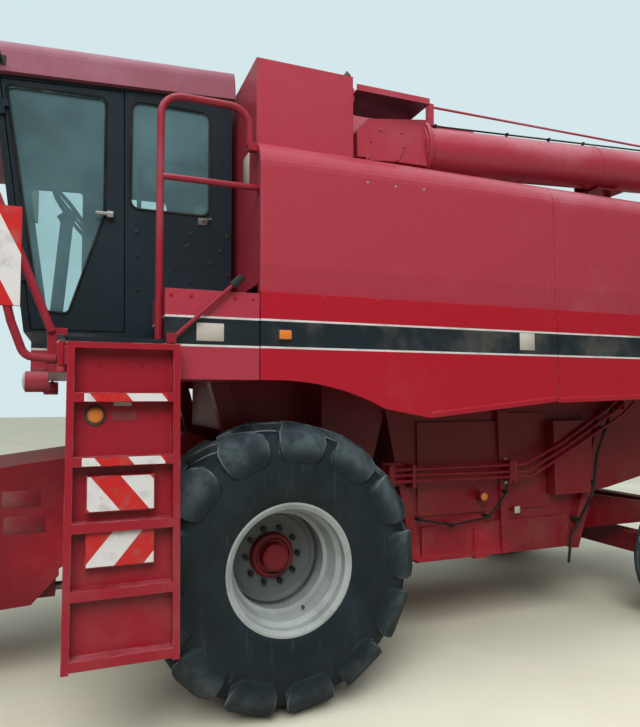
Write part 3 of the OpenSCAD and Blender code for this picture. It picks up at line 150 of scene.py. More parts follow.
class Graph:
    """Builds one procedural material, node by node."""

    def __init__(self, name: str) -> None:
        """Starts an empty material with its shader and output.

        Args:
            name: the material's name.
        """
        self.material = bpy.data.materials.new(name)
        self.material.use_nodes = True
        self.tree = self.material.node_tree
        self.tree.nodes.clear()
        self.output = self.node("OutputMaterial")
        self.shader = self.node("BsdfPrincipled")
        self.link(self.shader.outputs[0], self.output.inputs[0])
        self.coords = self.node("TexCoord").outputs["Object"]

    def node(self, kind: str, **inputs: object) -> bpy.types.Node:
        """Adds a shader node of a kind, with inputs set by name, underscores for spaces."""
        node = self.tree.nodes.new("ShaderNode" + kind)
        for name, value in inputs.items():
            self.feed(node.inputs[name.replace("_", " ")], value)
        return node

    def link(self, source: bpy.types.NodeSocket, target: bpy.types.NodeSocket) -> None:
        """Joins two sockets."""
        self.tree.links.new(source, target)

    def feed(self, socket: bpy.types.NodeSocket, value: object) -> None:
        """Links value into socket if it is a socket, or else sets it there."""
        if isinstance(value, bpy.types.NodeSocket):
            self.link(value, socket)
        elif isinstance(value, tuple) and len(value) == 3 and socket.type == "RGBA":
            socket.default_value = (*value, 1.0)
        else:
            socket.default_value = value

    def stretched(self, scale: Point) -> bpy.types.NodeSocket:
        """Returns the coordinates scaled by a factor along each axis."""
        return self.node("Mapping", Vector=self.coords, Scale=scale).outputs[0]

    def noise(self, scale: float, detail: float = 3.0, vector: object = None,
              roughness: float = 0.55) -> bpy.types.NodeSocket:
        """Returns a noise value.

        Args:
            scale: waves in a metre.
            detail: octaves.
            vector: coordinates, the object's own by default.
            roughness: how much of the fine octaves stays.

        Returns:
            The noise's factor socket.
        """
        node = self.node("TexNoise", Vector=vector or self.coords, Scale=scale, Detail=detail,
                         Roughness=roughness)
        return node.outputs["Fac"]

    def cells(self, scale: float) -> bpy.types.NodeSocket:
        """Returns the distance of a cell pattern."""
        return self.node("TexVoronoi", Vector=self.coords, Scale=scale).outputs["Distance"]

    def band(self, value: object, low: float, high: float, to_low: float = 0.0,
             to_high: float = 1.0) -> bpy.types.NodeSocket:
        """Returns value moved from low..high to to_low..to_high, held at its ends."""
        node = self.node("MapRange", Value=value, From_Min=low, From_Max=high, To_Min=to_low, To_Max=to_high)
        node.interpolation_type = "SMOOTHSTEP"
        return node.outputs["Result"]

    def patches(self, scale: float, detail: float, low: float, high: float, most: float = 1.0,
                roughness: float = 0.55) -> bpy.types.NodeSocket:
        """Returns patches made of noise.

        Args:
            scale: waves in a metre.
            detail: octaves.
            low: the noise's value at a patch's rim.
            high: the noise's value from which the patch is full.
            most: what a full patch returns; outside the patches it is 0.
            roughness: how much of the fine octaves stays.

        Returns:
            The patches' value socket.
        """
        return self.band(self.noise(scale, detail, roughness=roughness), low, high, 0.0, most)

    def maths(self, operation: str, a: object, b: object = 0.0) -> bpy.types.NodeSocket:
        """Returns the result of a math operation on two values."""
        node = self.node("Math")
        node.operation = operation
        self.feed(node.inputs[0], a)
        self.feed(node.inputs[1], b)
        return node.outputs[0]

    def times(self, a: object, b: object) -> bpy.types.NodeSocket:
        """Returns a times b."""
        return self.maths("MULTIPLY", a, b)

    def mix(self, amount: object, a: object, b: object) -> bpy.types.NodeSocket:
        """Returns colour a turned into colour b by amount."""
        node = self.node("Mix")
        node.data_type = "RGBA"
        self.feed(node.inputs["Factor"], amount)
        self.feed(node.inputs["A"], a)
        self.feed(node.inputs["B"], b)
        return [s for s in node.outputs if s.type == "RGBA"][0]

    def blend(self, amount: object, a: object, b: object) -> bpy.types.NodeSocket:
        """Returns number a turned into number b by amount."""
        node = self.node("Mix")
        node.data_type = "FLOAT"
        self.feed(node.inputs[0], amount)
        self.feed(node.inputs[2], a)
        self.feed(node.inputs[3], b)
        return node.outputs[0]

    def axis(self, index: int, source: object = None) -> bpy.types.NodeSocket:
        """Returns one of the coordinates: 0 for X, 1 for Y, 2 for Z."""
        return self.node("SeparateXYZ", Vector=source or self.coords).outputs[index]

    def from_axle(self, centre: Vector) -> bpy.types.NodeSocket:
        """Returns the distance from the axle of a wheel with its centre at rest."""
        dx = self.maths("SUBTRACT", self.axis(0), float(centre.x))
        dz = self.maths("SUBTRACT", self.axis(2), float(centre.z))
        return self.maths("SQRT", self.maths("ADD", self.times(dx, dx), self.times(dz, dz)))

    def upward(self) -> bpy.types.NodeSocket:
        """Returns how far the surface faces up."""
        return self.axis(2, self.node("NewGeometry").outputs["Normal"])

    def rounded(self, radius: float) -> bpy.types.NodeSocket:
        """Returns a normal that is rounded over nearby edges."""
        node = self.node("Bevel", Radius=radius)
        node.samples = 4
        return node.outputs[0]

    def edges(self, radius: float) -> bpy.types.NodeSocket:
        """Returns 1 on sharp edges and 0 on flats."""
        dot = self.node("VectorMath")
        dot.operation = "DOT_PRODUCT"
        self.link(self.rounded(radius), dot.inputs[0])
        self.link(self.node("NewGeometry").outputs["Normal"], dot.inputs[1])
        return self.band(dot.outputs["Value"], 0.995, 0.90)

    def bump(self, height: object, strength: float, distance: float,
             normal: object = None) -> bpy.types.NodeSocket:
        """Returns a normal raised by height."""
        node = self.node("Bump", Height=height, Strength=strength, Distance=distance)
        if normal is not None:
            self.link(normal, node.inputs["Normal"])
        return node.outputs[0]

    def finish(self, colour: object, roughness: object, normal: object = None,
               **settings: object) -> bpy.types.Material:
        """Sets the shader and returns the material.

        Args:
            colour: base colour.
            roughness: roughness.
            normal: normal, or None for the mesh's own.
            settings: other inputs of the shader, with underscores for spaces.

        Returns:
            The finished material.
        """
        self.feed(self.shader.inputs["Base Color"], colour)
        self.feed(self.shader.inputs["Roughness"], roughness)
        if normal is not None:
            self.link(normal, self.shader.inputs["Normal"])
        for name, value in settings.items():
            self.feed(self.shader.inputs[name.replace("_", " ")], value)
        return self.material


@dataclass(frozen=True)
class PaintFinish:
    """Old machine paint: faded, streaked, dusty, chipped at its edges; upward faces get a painted sky sheen and
    faces that look down can get painted shade.

    Attributes:
        name: the material's name.
        colour: the paint as new.
        faded: the paint where the sun has chalked it, which upward faces also take as a painted sky sheen.
        fade: how much of the surface is faded, 0 to 1, the painted sky sheen on upward faces included.
        dirt: how much dust and soil lies on it, 0 to 1.
        gloss: roughness of clean paint.
        wear: how worn the edges are, 0 to 1.
        waviness: how wavy the sheet is, in metres.
        under: how much painted shade blackens the faces that look down, 0 to 1.
        coat: weight of the clear coat.
    """

    name: str
    colour: Colour
    faded: Colour
    fade: float = 0.5
    dirt: float = 0.35
    gloss: float = 0.30
    wear: float = 0.5
    waviness: float = 0.006
    under: float = 0.0
    coat: float = 0.25

    def shade(self, g: Graph) -> tuple[object, object, object]:
        """Returns the paint's colour, roughness and normal in graph g."""
        cloud = g.noise(0.9, 4.0)
        grain = g.noise(26.0, 5.0)
        # Faded patches from the cloud, and more of the faded colour on upward faces: partly sun-chalked paint,
        # partly a painted sky sheen.
        fade = g.band(g.maths("ADD", cloud, g.times(g.upward(), 0.16)),
                      0.62 - 0.3 * self.fade, 0.80 - 0.2 * self.fade)
        colour = g.mix(fade, self.colour, self.faded)
        mottled = g.band(grain, 0.35, 0.75, 0.0, 0.22)
        colour = g.mix(mottled, colour, tuple(c * 0.62 for c in self.colour))
        streaks = g.noise(1.0, 5.0, g.stretched((11.0, 11.0, 0.8)), 0.6)
        streak = g.band(streaks, 0.60, 0.82, 0.0, 0.45 * self.dirt)
        colour = g.mix(streak, colour, PALETTE.dust)
        low = g.band(g.axis(2), 1.9, 0.35)
        patchy = g.patches(3.1, 6.0, 0.42, 0.72)
        dusty = g.times(low, g.times(patchy, 0.75 * self.dirt))
        lying = g.times(g.band(g.upward(), 0.55, 0.95), 0.55 * self.dirt)
        dusty = g.maths("MAXIMUM", dusty, g.times(lying, g.patches(7.0, 5.0, 0.3, 0.7)))
        colour = g.mix(dusty, colour, PALETTE.dust)
        speck = g.patches(60.0, 3.0, 0.735, 0.76, 0.8 * self.wear)
        colour = g.mix(speck, colour, PALETTE.rust)
        # Painted shade: faces that look down are blackened, as if in shadow.
        colour = g.mix(g.band(g.upward(), -0.35, -0.75, 0.0, self.under), colour, PALETTE.soot)
        edge = g.times(g.edges(0.005), g.patches(14.0, 4.0, 0.42, 0.62, self.wear))
        colour = g.mix(edge, colour, tuple(0.5 * (c + s) for c, s in zip(self.faded, PALETTE.steel)))
        polish = g.band(grain, 0.3, 0.8, self.gloss, self.gloss + 0.16)
        roughness = g.blend(g.maths("MAXIMUM", dusty, streak), polish, 0.85)
        wavy = g.bump(g.noise(1.3, 2.0), 1.0, self.waviness, g.rounded(0.004))
        normal = g.bump(g.noise(220.0, 2.0), 0.10, 0.0006, wavy)
        return colour, roughness, normal

    def marked(self, g: Graph, colour: object) -> object:
        """Returns the colour with the finish's own marks on it, of which plain paint has none."""
        return colour

    def build(self) -> bpy.types.Material:
        """Returns the material."""
        g = Graph(self.name)
        colour, roughness, normal = self.shade(g)
        return g.finish(self.marked(g, colour), roughness, normal, Coat_Weight=self.coat, Coat_Roughness=0.22,
                        Specular_IOR_Level=0.45)


@dataclass(frozen=True)
class StripedPaint(PaintFinish):
    """Shield paint with the dark band and its two pale lines.

    Attributes:
        low: lower edge of the band above the ground, in metres.
        high: upper edge of the band.
        line: height of a pale line.
    """

    low: float = 2.0
    high: float = 2.16
    line: float = 0.011

    def between(self, g: Graph, low: float, high: float) -> bpy.types.NodeSocket:
        """Returns 1 between two heights above the ground, with soft edges."""
        z, soft = g.axis(2), 0.0012
        return g.times(g.band(z, low - soft, low + soft), g.band(z, high + soft, high - soft))

    def marked(self, g: Graph, colour: object) -> object:
        """Returns the colour with the pale lines and the dark band on it."""
        pale = g.mix(g.patches(9.0, 4.0, 0.4, 0.8, 0.5), PALETTE.white, PALETTE.dust)
        dark = g.mix(g.patches(3.0, 5.0, 0.45, 0.8, 0.35), PALETTE.black_blue, PALETTE.dust)
        chipped = g.patches(42.0, 5.0, 0.70, 0.66)
        colour = g.mix(g.times(self.between(g, self.low, self.high), chipped), colour, pale)
        return g.mix(self.between(g, self.low + self.line, self.high - self.line), colour, dark)


@dataclass(frozen=True)
class RubberFinish:
    """Weathered tyre rubber, scuffed pale where it is raised.

    Attributes:
        name: the material's name.
        centre: the wheel's centre at rest.
        tread_r: radius past which the rubber is scuffed, in metres.
        scuffed: how scuffed it is there, 0 to 1.
    """

    name: str
    centre: Vector
    tread_r: float
    scuffed: float = 0.75

    def build(self) -> bpy.types.Material:
        """Returns the material."""
        g = Graph(self.name)
        radius = g.from_axle(self.centre)
        raised = g.band(radius, self.tread_r - 0.10, self.tread_r + 0.01)
        cloud = g.band(g.noise(6.0, 6.0, roughness=0.65), 0.36, 0.66, 0.15, 1.0)
        scuff = g.times(raised, cloud)
        colour = g.mix(g.patches(4.0, 5.0, 0.35, 0.75, 0.5), PALETTE.rubber, PALETTE.rubber_grey)
        colour = g.mix(g.times(scuff, self.scuffed), colour, PALETTE.rubber_scuffed)
        runs = g.noise(1.0, 4.0, g.stretched((30.0, 30.0, 3.2)), 0.6)
        wall = g.band(radius, self.tread_r - 0.02, self.tread_r - 0.16)
        run = g.times(wall, g.band(runs, 0.55, 0.80, 0.0, 0.20))
        colour = g.mix(run, colour, PALETTE.rubber_scuffed)
        groove = g.maths("FRACT", g.times(radius, 46.0))
        ring = g.times(g.band(groove, 0.70, 0.95), 0.10)
        colour = g.mix(ring, colour, PALETTE.rubber)
        edge = g.times(g.edges(0.014), g.band(g.noise(9.0, 3.0), 0.4, 0.6, 0.10, 0.80))
        colour = g.mix(g.times(edge, raised), colour, PALETTE.rubber_edge)
        normal = g.bump(g.noise(90.0, 5.0), 0.25, 0.002, g.rounded(0.008))
        return g.finish(colour, g.blend(scuff, 0.50, 0.80), normal, Specular_IOR_Level=0.40)


@dataclass(frozen=True)
class RimFinish:
    """Silver rim with a red hub, dark nuts and a greyer disc, told apart by the distance from the axle, with
    painted shade deep in the barrel and in the gap round the disc.

    Attributes:
        name: the material's name.
        centre: the wheel's centre at rest.
        hub_r: radius of the red hub, in metres.
        nut_r: radius of the circle of nuts.
        nut_w: half the width of the ring that the nuts cover.
        disc_y: how far from the machine's middle the disc's face is.
        disc_r: the disc's radius.
    """

    name: str
    centre: Vector
    hub_r: float
    nut_r: float
    nut_w: float
    disc_y: float
    disc_r: float

    def build(self) -> bpy.types.Material:
        """Returns the material."""
        g = Graph(self.name)
        radius = g.from_axle(self.centre)
        depth = g.maths("ABSOLUTE", g.axis(1))
        silver = g.mix(g.patches(5.0, 6.0, 0.42, 0.75, 0.55, 0.65), PALETTE.silver,
                       PALETTE.silver_dull)
        # Painted shade: the silver darkens deeper in, towards the machine, where the barrel's hollow lies in
        # shade.
        deep = g.band(depth, self.disc_y + 0.26, self.disc_y + 0.02, 0.0, 0.45)
        silver = g.mix(deep, silver, PALETTE.silver_deep)
        deep_in = g.band(depth, self.disc_y + 0.075, self.disc_y + 0.06)
        disc = g.times(g.band(radius, self.disc_r + 0.004, self.disc_r - 0.004), deep_in)
        # Painted shade: a dark ring in the gap between the disc and the rim's channel.
        from_edge = g.maths("ABSOLUTE", g.maths("SUBTRACT", radius, self.disc_r + 0.006))
        gap = g.times(g.band(from_edge, 0.011, 0.006), deep_in)
        silver = g.mix(g.times(gap, 0.9), silver, PALETTE.disc_gap)
        colour = g.mix(g.times(disc, 0.85), silver, PALETTE.disc_grey)
        hub = g.band(radius, self.hub_r + 0.001, self.hub_r - 0.001)
        worn = g.patches(14.0, 5.0, 0.40, 0.72, 0.6)
        red = g.mix(worn, PALETTE.hub_red, PALETTE.hub_worn)
        colour = g.mix(hub, colour, red)
        rusty = g.patches(23.0, 6.0, 0.655, 0.74, 0.6, 0.7)
        colour = g.mix(rusty, colour, PALETTE.rust)
        dusty = g.patches(3.0, 6.0, 0.50, 0.80, 0.35)
        colour = g.mix(dusty, colour, tuple(0.8 * c for c in PALETTE.dust))
        from_nuts = g.maths("ABSOLUTE", g.maths("SUBTRACT", radius, self.nut_r))
        nut = g.times(g.band(from_nuts, self.nut_w + 0.001, self.nut_w - 0.001),
                      g.band(depth, self.disc_y + 0.002, self.disc_y + 0.006))
        colour = g.mix(nut, colour, PALETTE.nut_black)
        normal = g.bump(g.noise(160.0, 4.0), 0.2, 0.0008, g.rounded(0.003))
        return g.finish(colour, g.blend(dusty, 0.40, 0.8), normal, Metallic=0.15)


@dataclass(frozen=True)
class MetalFinish:
    """Bare or silver-painted metal with grime and a little rust.

    Attributes:
        name: the material's name.
        colour: the clean metal.
        metallic: 0 for silver paint, 1 for bare metal.
        roughness: roughness where clean.
        grime: how dirty it is, 0 to 1.
        rust: how rusty it is, 0 to 1.
    """

    name: str
    colour: Colour
    metallic: float = 0.6
    roughness: float = 0.4
    grime: float = 0.5
    rust: float = 0.2

    def build(self) -> bpy.types.Material:
        """Returns the material."""
        g = Graph(self.name)
        dirty = g.patches(6.0, 6.0, 0.40, 0.72, self.grime, 0.65)
        colour = g.mix(dirty, self.colour, tuple(0.5 * c for c in PALETTE.dust))
        rusty = g.patches(19.0, 6.0, 0.62, 0.74, self.rust, 0.7)
        colour = g.mix(rusty, colour, PALETTE.rust)
        covered = g.maths("MAXIMUM", dirty, rusty)
        normal = g.bump(g.noise(160.0, 4.0), 0.2, 0.0008, g.rounded(0.003))
        return g.finish(colour, g.blend(covered, self.roughness, 0.85), normal,
                        Metallic=g.blend(covered, self.metallic, 0.0))


@dataclass(frozen=True)
class GlassFinish:
    """Dusty, lightly tinted window glass.

    Attributes:
        name: the material's name.
        tint: colour of what is seen through it.
        haze: colour of the film of dust.
        shine: colour of its reflections.
    """

    name: str
    tint: Colour = (0.93, 1.0, 1.0)
    haze: Colour = (0.46, 0.86, 0.96)
    shine: Colour = (0.8, 0.86, 0.86)

    def build(self) -> bpy.types.Material:
        """Returns the material."""
        g = Graph(self.name)
        clear = g.node("BsdfTransparent", Color=self.tint)
        gloss = g.node("BsdfGlossy", Roughness=0.04, Color=self.shine)
        film = g.node("BsdfDiffuse", Color=self.haze)
        glass, dusty = g.node("MixShader"), g.node("MixShader")
        dust = g.band(g.noise(2.2, 2.0), 0.30, 0.80, 0.09, 0.16)
        for mixer, share, under, over in ((glass, g.node("Fresnel", IOR=1.6).outputs[0], clear, gloss),
                                          (dusty, dust, glass, film)):
            g.link(share, mixer.inputs[0])
            g.link(under.outputs[0], mixer.inputs[1])
            g.link(over.outputs[0], mixer.inputs[2])
        g.link(dusty.outputs[0], g.output.inputs[0])
        g.tree.nodes.remove(g.shader)
        return g.material


@dataclass(frozen=True)
class PlainFinish:
    """Plastic, paint or fabric with fine grain and dust.

    Attributes:
        name: the material's name.
        colour: the clean surface.
        roughness: its roughness.
        dust: how dusty it is, 0 to 1.
        grain: grain's waves in a metre.
    """

    name: str
    colour: Colour
    roughness: float = 0.55
    dust: float = 0.3
    grain: float = 240.0

    def build(self) -> bpy.types.Material:
        """Returns the material."""
        g = Graph(self.name)
        patch = g.patches(4.0, 5.0, 0.40, 0.78, self.dust)
        lying = g.times(g.band(g.upward(), 0.5, 0.95), self.dust)
        dusty = g.maths("MAXIMUM", patch, lying)
        colour = g.mix(dusty, self.colour, PALETTE.dust)
        normal = g.bump(g.noise(self.grain, 3.0), 0.25, 0.0006, g.rounded(0.003))
        return g.finish(colour, g.blend(dusty, self.roughness, 0.9), normal)


@dataclass(frozen=True)
class WarningStripes:
    """Red and white diagonal bands of a reflecting panel.

    Attributes:
        name: the material's name.
        pitch: width of a red and a white band together, in metres.
        lean: how far the bands move along X as they rise by one metre.
        start: place along X at height zero where a red band starts, in metres.
    """

    name: str
    pitch: float
    lean: float = 1.0
    start: float = 0.0

    def build(self) -> bpy.types.Material:
        """Returns the material."""
        g = Graph(self.name)
        along = g.maths("SUBTRACT", g.axis(0), g.times(g.axis(2), self.lean))
        moved = g.maths("ADD", along, 60 * self.pitch - self.start)
        saw = g.maths("FRACT", g.maths("DIVIDE", moved, self.pitch))
        red = g.times(g.band(saw, 0.0, 0.012), g.band(saw, 0.512, 0.50))
        dirt = g.patches(16.0, 5.0, 0.45, 0.80, 0.4)
        colour = g.mix(red, PALETTE.white, PALETTE.warning_red)
        colour = g.mix(dirt, colour, tuple(0.6 * c for c in PALETTE.dust))
        chip = g.patches(48.0, 4.0, 0.70, 0.73, 0.8)
        colour = g.mix(chip, colour, PALETTE.red_deep)
        normal = g.bump(g.cells(300.0), 0.12, 0.0004)
        return g.finish(colour, 0.30, normal)


class Workshop:
    """Keeps the materials and turns meshes into pieces that ride on bodies."""

    def __init__(self, frame: dict, drawing: Drawing) -> None:
        """Starts with no material.

        Args:
            drawing: the drawing's place in the frame.
        """
        self.frame = frame
        self.drawing = drawing
        self.made: dict[str, bpy.types.Material] = {}

    def material(self, finish: object) -> bpy.types.Material:
        """Returns the material of a finish, built once."""
        if finish.name not in self.made:
            self.made[finish.name] = finish.build()
        return self.made[finish.name]

    def dress(self, finish: object, *nodes: str) -> None:
        """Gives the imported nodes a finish."""
        for name in nodes:
            node = self.frame["nodes"][name]
            node.data.materials.clear()
            node.data.materials.append(self.material(finish))
            node.data.materials[0].use_backface_culling = False

    def piece(self, name: str, mesh: bpy.types.Mesh, body: str, slot: str, finish: object | None = None,
              replaces: Sequence[str] = ()) -> bpy.types.Object:
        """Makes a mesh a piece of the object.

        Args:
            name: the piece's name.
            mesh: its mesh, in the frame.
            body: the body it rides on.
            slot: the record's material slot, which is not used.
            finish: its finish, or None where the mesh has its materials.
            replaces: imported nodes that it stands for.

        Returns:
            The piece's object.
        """
        obj = bpy.data.objects.new(name, mesh)
        bpy.context.scene.collection.objects.link(obj)
        if finish is not None:
            mesh.materials.clear()
            mesh.materials.append(self.material(finish))
        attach(obj, body)
        if replaces:
            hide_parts(*replaces)
        LOG.info("piece %s: %d faces", name, len(mesh.polygons))
        return obj

    def form(self, name: str, shape: "Shape", body: str, slot: str, finish: object, smooth: float = 35.0,
             replaces: Sequence[str] = ()) -> bpy.types.Object:
        """Makes a shape a piece; the arguments are those of piece, and of Shape.mesh for smooth."""
        return self.piece(name, shape.mesh(name, smooth), body, slot, finish, replaces)


class Shape:
    """A mesh in the making, in the frame's metres."""

    def __init__(self) -> None:
        """Starts an empty mesh."""
        self.bm = bmesh.new()

    def box(self, low: Vector, high: Vector, turn: Matrix | None = None) -> "Shape":
        """Adds a box between two corners, turned about its own middle."""
        middle = (low + high) / 2
        size = high - low
        matrix = Matrix.Translation(middle) @ (turn or Matrix.Identity(4)) @ Matrix.Diagonal((*size, 1.0))
        bmesh.ops.create_cube(self.bm, size=1.0, matrix=matrix)
        return self

    def lathe(self, centre: Vector, profile: Sequence[tuple[float, float]], steps: int = 96,
              axis: Vector = Vector((0, 1, 0))) -> "Shape":
        """Adds a turned shape.

        Args:
            centre: a point on the axis.
            profile: radius and place along the axis of each point; closed if both its ends are off the axis.
            steps: faces round the axis.
            axis: the axis' direction.

        Returns:
            This shape.
        """
        turn = Vector((0, 0, 1)).rotation_difference(axis.normalized()).to_matrix()
        rings: list[list[bmesh.types.BMVert]] = []
        for r, h in profile:
            if r < 1e-6:
                rings.append([self.bm.verts.new(centre + turn @ Vector((0, 0, h)))])
                continue
            rings.append([self.bm.verts.new(centre + turn @ Vector((r * math.cos(a), r * math.sin(a), h)))
                          for a in (2 * math.pi * i / steps for i in range(steps))])
        closed = profile[0][0] > 1e-6 and profile[-1][0] > 1e-6
        pairs = list(zip(rings, rings[1:])) + ([(rings[-1], rings[0])] if closed else [])
        for a, b in pairs:
            for i in range(steps):
                j = (i + 1) % steps
                corners = [a[i % len(a)], a[j % len(a)], b[j % len(b)], b[i % len(b)]]
                unique = list(dict.fromkeys(corners))
                if len(unique) > 2:
                    self.bm.faces.new(unique)
        return self

    def tube(self, path: Sequence[Vector], radius: float, sides: int = 12) -> "Shape":
        """Adds a round bar along a path, with flat ends."""
        rings = []
        normal = Vector((0, 0, 1))
        for i, p in enumerate(path):
            way = (path[min(i + 1, len(path) - 1)] - path[max(i - 1, 0)]).normalized()
            if abs(way.dot(normal)) > 0.98 and i == 0:
                normal = Vector((1, 0, 0))
            normal = (normal - way * normal.dot(way)).normalized()
            other = way.cross(normal)
            rings.append([self.bm.verts.new(p + radius * (math.cos(a) * normal + math.sin(a) * other))
                          for a in (2 * math.pi * k / sides for k in range(sides))])
        for a, b in zip(rings, rings[1:]):
            for k in range(sides):
                self.bm.faces.new((a[k], a[(k + 1) % sides], b[(k + 1) % sides], b[k]))
        self.bm.faces.new(rings[0][::-1])
        self.bm.faces.new(rings[-1])
        return self

    def plate(self, outline: Sequence[Vector], thickness: Vector) -> "Shape":
        """Adds a flat plate with an outline, grown by a vector."""
        bottom = [self.bm.verts.new(p) for p in outline]
        face = self.bm.faces.new(bottom)
        grown = bmesh.ops.extrude_face_region(self.bm, geom=[face])
        bmesh.ops.translate(self.bm, vec=thickness, verts=[v for v in grown["geom"]
                                                           if isinstance(v, bmesh.types.BMVert)])
        return self

    def bevel(self, width: float, segments: int = 2, sharper_than: float = 30.0) -> "Shape":
        """Rounds the edges that are sharper than an angle, in degrees."""
        limit = math.radians(sharper_than)
        self.bm.normal_update()
        edges = [e for e in self.bm.edges if len(e.link_faces) == 2 and e.calc_face_angle(0) > limit]
        bmesh.ops.bevel(self.bm, geom=edges, offset=width, segments=segments, affect="EDGES", profile=0.5,
                        clamp_overlap=True)
        return self

    def mesh(self, name: str, smooth: float = 35.0) -> bpy.types.Mesh:
        """Closes the shape and returns its mesh.

        Args:
            name: the mesh's name.
            smooth: edges flatter than this many degrees shade smoothly.

        Returns:
            The mesh, its faces pointing outwards.
        """
        bmesh.ops.remove_doubles(self.bm, verts=self.bm.verts, dist=1e-6)
        bmesh.ops.recalc_face_normals(self.bm, faces=self.bm.faces)
        mesh = bpy.data.meshes.new(name)
        self.bm.to_mesh(mesh)
        self.bm.free()
        mesh.shade_smooth()
        mesh.set_sharp_from_angle(angle=math.radians(smooth))
        return mesh


def rounded_path(points: Sequence[Vector], radius: float, steps: int = 8) -> list[Vector]:
    """Returns a path whose corners are rounded."""
    out = [points[0]]
    for a, b, c in zip(points, points[1:], points[2:]):
        u, v = (a - b).normalized(), (c - b).normalized()
        angle = u.angle(v)
        cut = min(radius / math.tan(angle / 2), 0.45 * (a - b).length, 0.45 * (c - b).length)
        start, end = b + u * cut, b + v * cut
        for k in range(steps + 1):
            t = k / steps
            out.append((1 - t) ** 2 * start + 2 * t * (1 - t) * b + t * t * end)
    out.append(points[-1])
    return out


class RepeatTree:
    """A Geometry Nodes tree that repeats a form, realizes the instances and sets their material.

    Attributes:
        tree: the node group.
        inputs: identifier of each of the tree's inputs by its name.
        start: the node that gives the inputs' values.
    """

    def __init__(self, name: str, inputs: Sequence[tuple[str, str]]) -> None:
        """Starts the tree with a geometry input, the named inputs and one for the finish.

        Args:
            name: the tree's name.
            inputs: name and kind of each input of its own.
        """
        self.tree = bpy.data.node_groups.new(name, "GeometryNodeTree")
        self.inputs: dict[str, str] = {}
        for label, kind in (("Geometry", "Geometry"), *inputs, ("Finish", "Material")):
            socket = self.tree.interface.new_socket(label, in_out="INPUT", socket_type=f"NodeSocket{kind}")
            self.inputs[label] = socket.identifier
        self.tree.interface.new_socket("Geometry", in_out="OUTPUT", socket_type="NodeSocketGeometry")
        self.start = self.node("NodeGroupInput")

    def node(self, kind: str, **settings: object) -> bpy.types.Node:
        """Adds a node of a kind with its own settings."""
        node = self.tree.nodes.new(kind)
        for name, value in settings.items():
            setattr(node, name, value)
        return node

    def wire(self, *links: tuple[bpy.types.Node, object, bpy.types.Node, object]) -> None:
        """Joins sockets, each link given as node and output, node and input."""
        for source, output, target, into in links:
            self.tree.links.new(source.outputs[output], target.inputs[into])

    def scaled(self, source: bpy.types.Node, output: str, factor: float) -> bpy.types.Node:
        """Returns a node whose output is a value times a factor."""
        node = self.node("ShaderNodeMath", operation="MULTIPLY")
        node.inputs[1].default_value = factor
        self.wire((source, output, node, 0))
        return node

    def close(self, repeated: bpy.types.Node, last: bpy.types.Node | None = None) -> None:
        """Realizes the instances, moves them if a last node is given, and sets their material."""
        real, dress = self.node("GeometryNodeRealizeInstances"), self.node("GeometryNodeSetMaterial")
        self.wire((repeated, 0, real, 0))
        if last is not None:
            self.wire((real, 0, last, "Geometry"))
        self.wire((last or real, 0, dress, "Geometry"), (self.start, "Finish", dress, "Material"),
                  (dress, 0, self.node("NodeGroupOutput"), 0))

    def run(self, name: str, mesh: bpy.types.Mesh, values: dict[str, object]) -> bpy.types.Mesh:
        """Returns the real mesh that the tree makes of a mesh with the values of its inputs."""
        obj = bpy.data.objects.new(name + "_source", mesh)
        bpy.context.scene.collection.objects.link(obj)
        modifier = obj.modifiers.new("repeat", "NODES")
        modifier.node_group = self.tree
        for label, value in values.items():
            modifier[self.inputs[label]] = value
        return realized(obj, name)


class BoltTree(RepeatTree):
    """Sets a bolt head with its washer on each point of a mesh, along the point's own direction.

    Attributes:
        LIFT: height of the head's middle over the sheet, as a share of its height.
        WASHER_R: the washer's radius, as a share of the head's.
        WASHER_H: the washer's height, as a share of the head's.
        WASHER_SIDES: the washer's sides.
    """

    LIFT = 0.62
    WASHER_R = 1.45
    WASHER_H = 0.35
    WASHER_SIDES = 14

    def __init__(self) -> None:
        """Builds the tree once, with inputs for the head's sizes."""
        super().__init__("bolt_heads", (("Head radius", "Float"), ("Head height", "Float"),
                                        ("Head sides", "Int")))
        head, washer = self.node("GeometryNodeMeshCylinder"), self.node("GeometryNodeMeshCylinder")
        washer.inputs["Vertices"].default_value = self.WASHER_SIDES
        lift, move = self.node("ShaderNodeCombineXYZ"), self.node("GeometryNodeTransform")
        both, points = self.node("GeometryNodeJoinGeometry"), self.node("GeometryNodeInstanceOnPoints")
        way = self.node("GeometryNodeInputNamedAttribute", data_type="FLOAT_VECTOR")
        way.inputs["Name"].default_value = "way"
        align = self.node("FunctionNodeAlignEulerToVector", axis="Z")
        start = self.start
        self.wire((start, "Head sides", head, "Vertices"), (start, "Head radius", head, "Radius"),
                  (start, "Head height", head, "Depth"), (head, "Mesh", move, "Geometry"),
                  (self.scaled(start, "Head height", self.LIFT), 0, lift, "Z"),
                  (lift, 0, move, "Translation"),
                  (self.scaled(start, "Head radius", self.WASHER_R), 0, washer, "Radius"),
                  (self.scaled(start, "Head height", self.WASHER_H), 0, washer, "Depth"),
                  (move, 0, both, 0), (washer, "Mesh", both, 0), (start, "Geometry", points, "Points"),
                  (both, 0, points, "Instance"), (way, "Attribute", align, "Vector"),
                  (align, 0, points, "Rotation"))
        self.close(points)

    def heads(self, name: str, places: Sequence[tuple[Vector, Vector]], radius: float, height: float,
              finish: bpy.types.Material, sides: int = 6) -> bpy.types.Mesh:
        """Returns one mesh with a bolt head at each place.

        Args:
            name: the mesh's name.
            places: point and outward direction of each head.
            radius: a head's radius.
            height: a head's height.
            finish: the heads' material.
            sides: a head's sides.

        Returns:
            The mesh.
        """
        seed = bpy.data.meshes.new(name + "_places")
        seed.from_pydata([p for p, _ in places], [], [])
        way = seed.attributes.new("way", "FLOAT_VECTOR", "POINT")
        for i, (_, direction) in enumerate(places):
            way.data[i].vector = direction
        return self.run(name, seed, {"Head radius": radius, "Head height": height, "Head sides": sides,
                                     "Finish": finish})


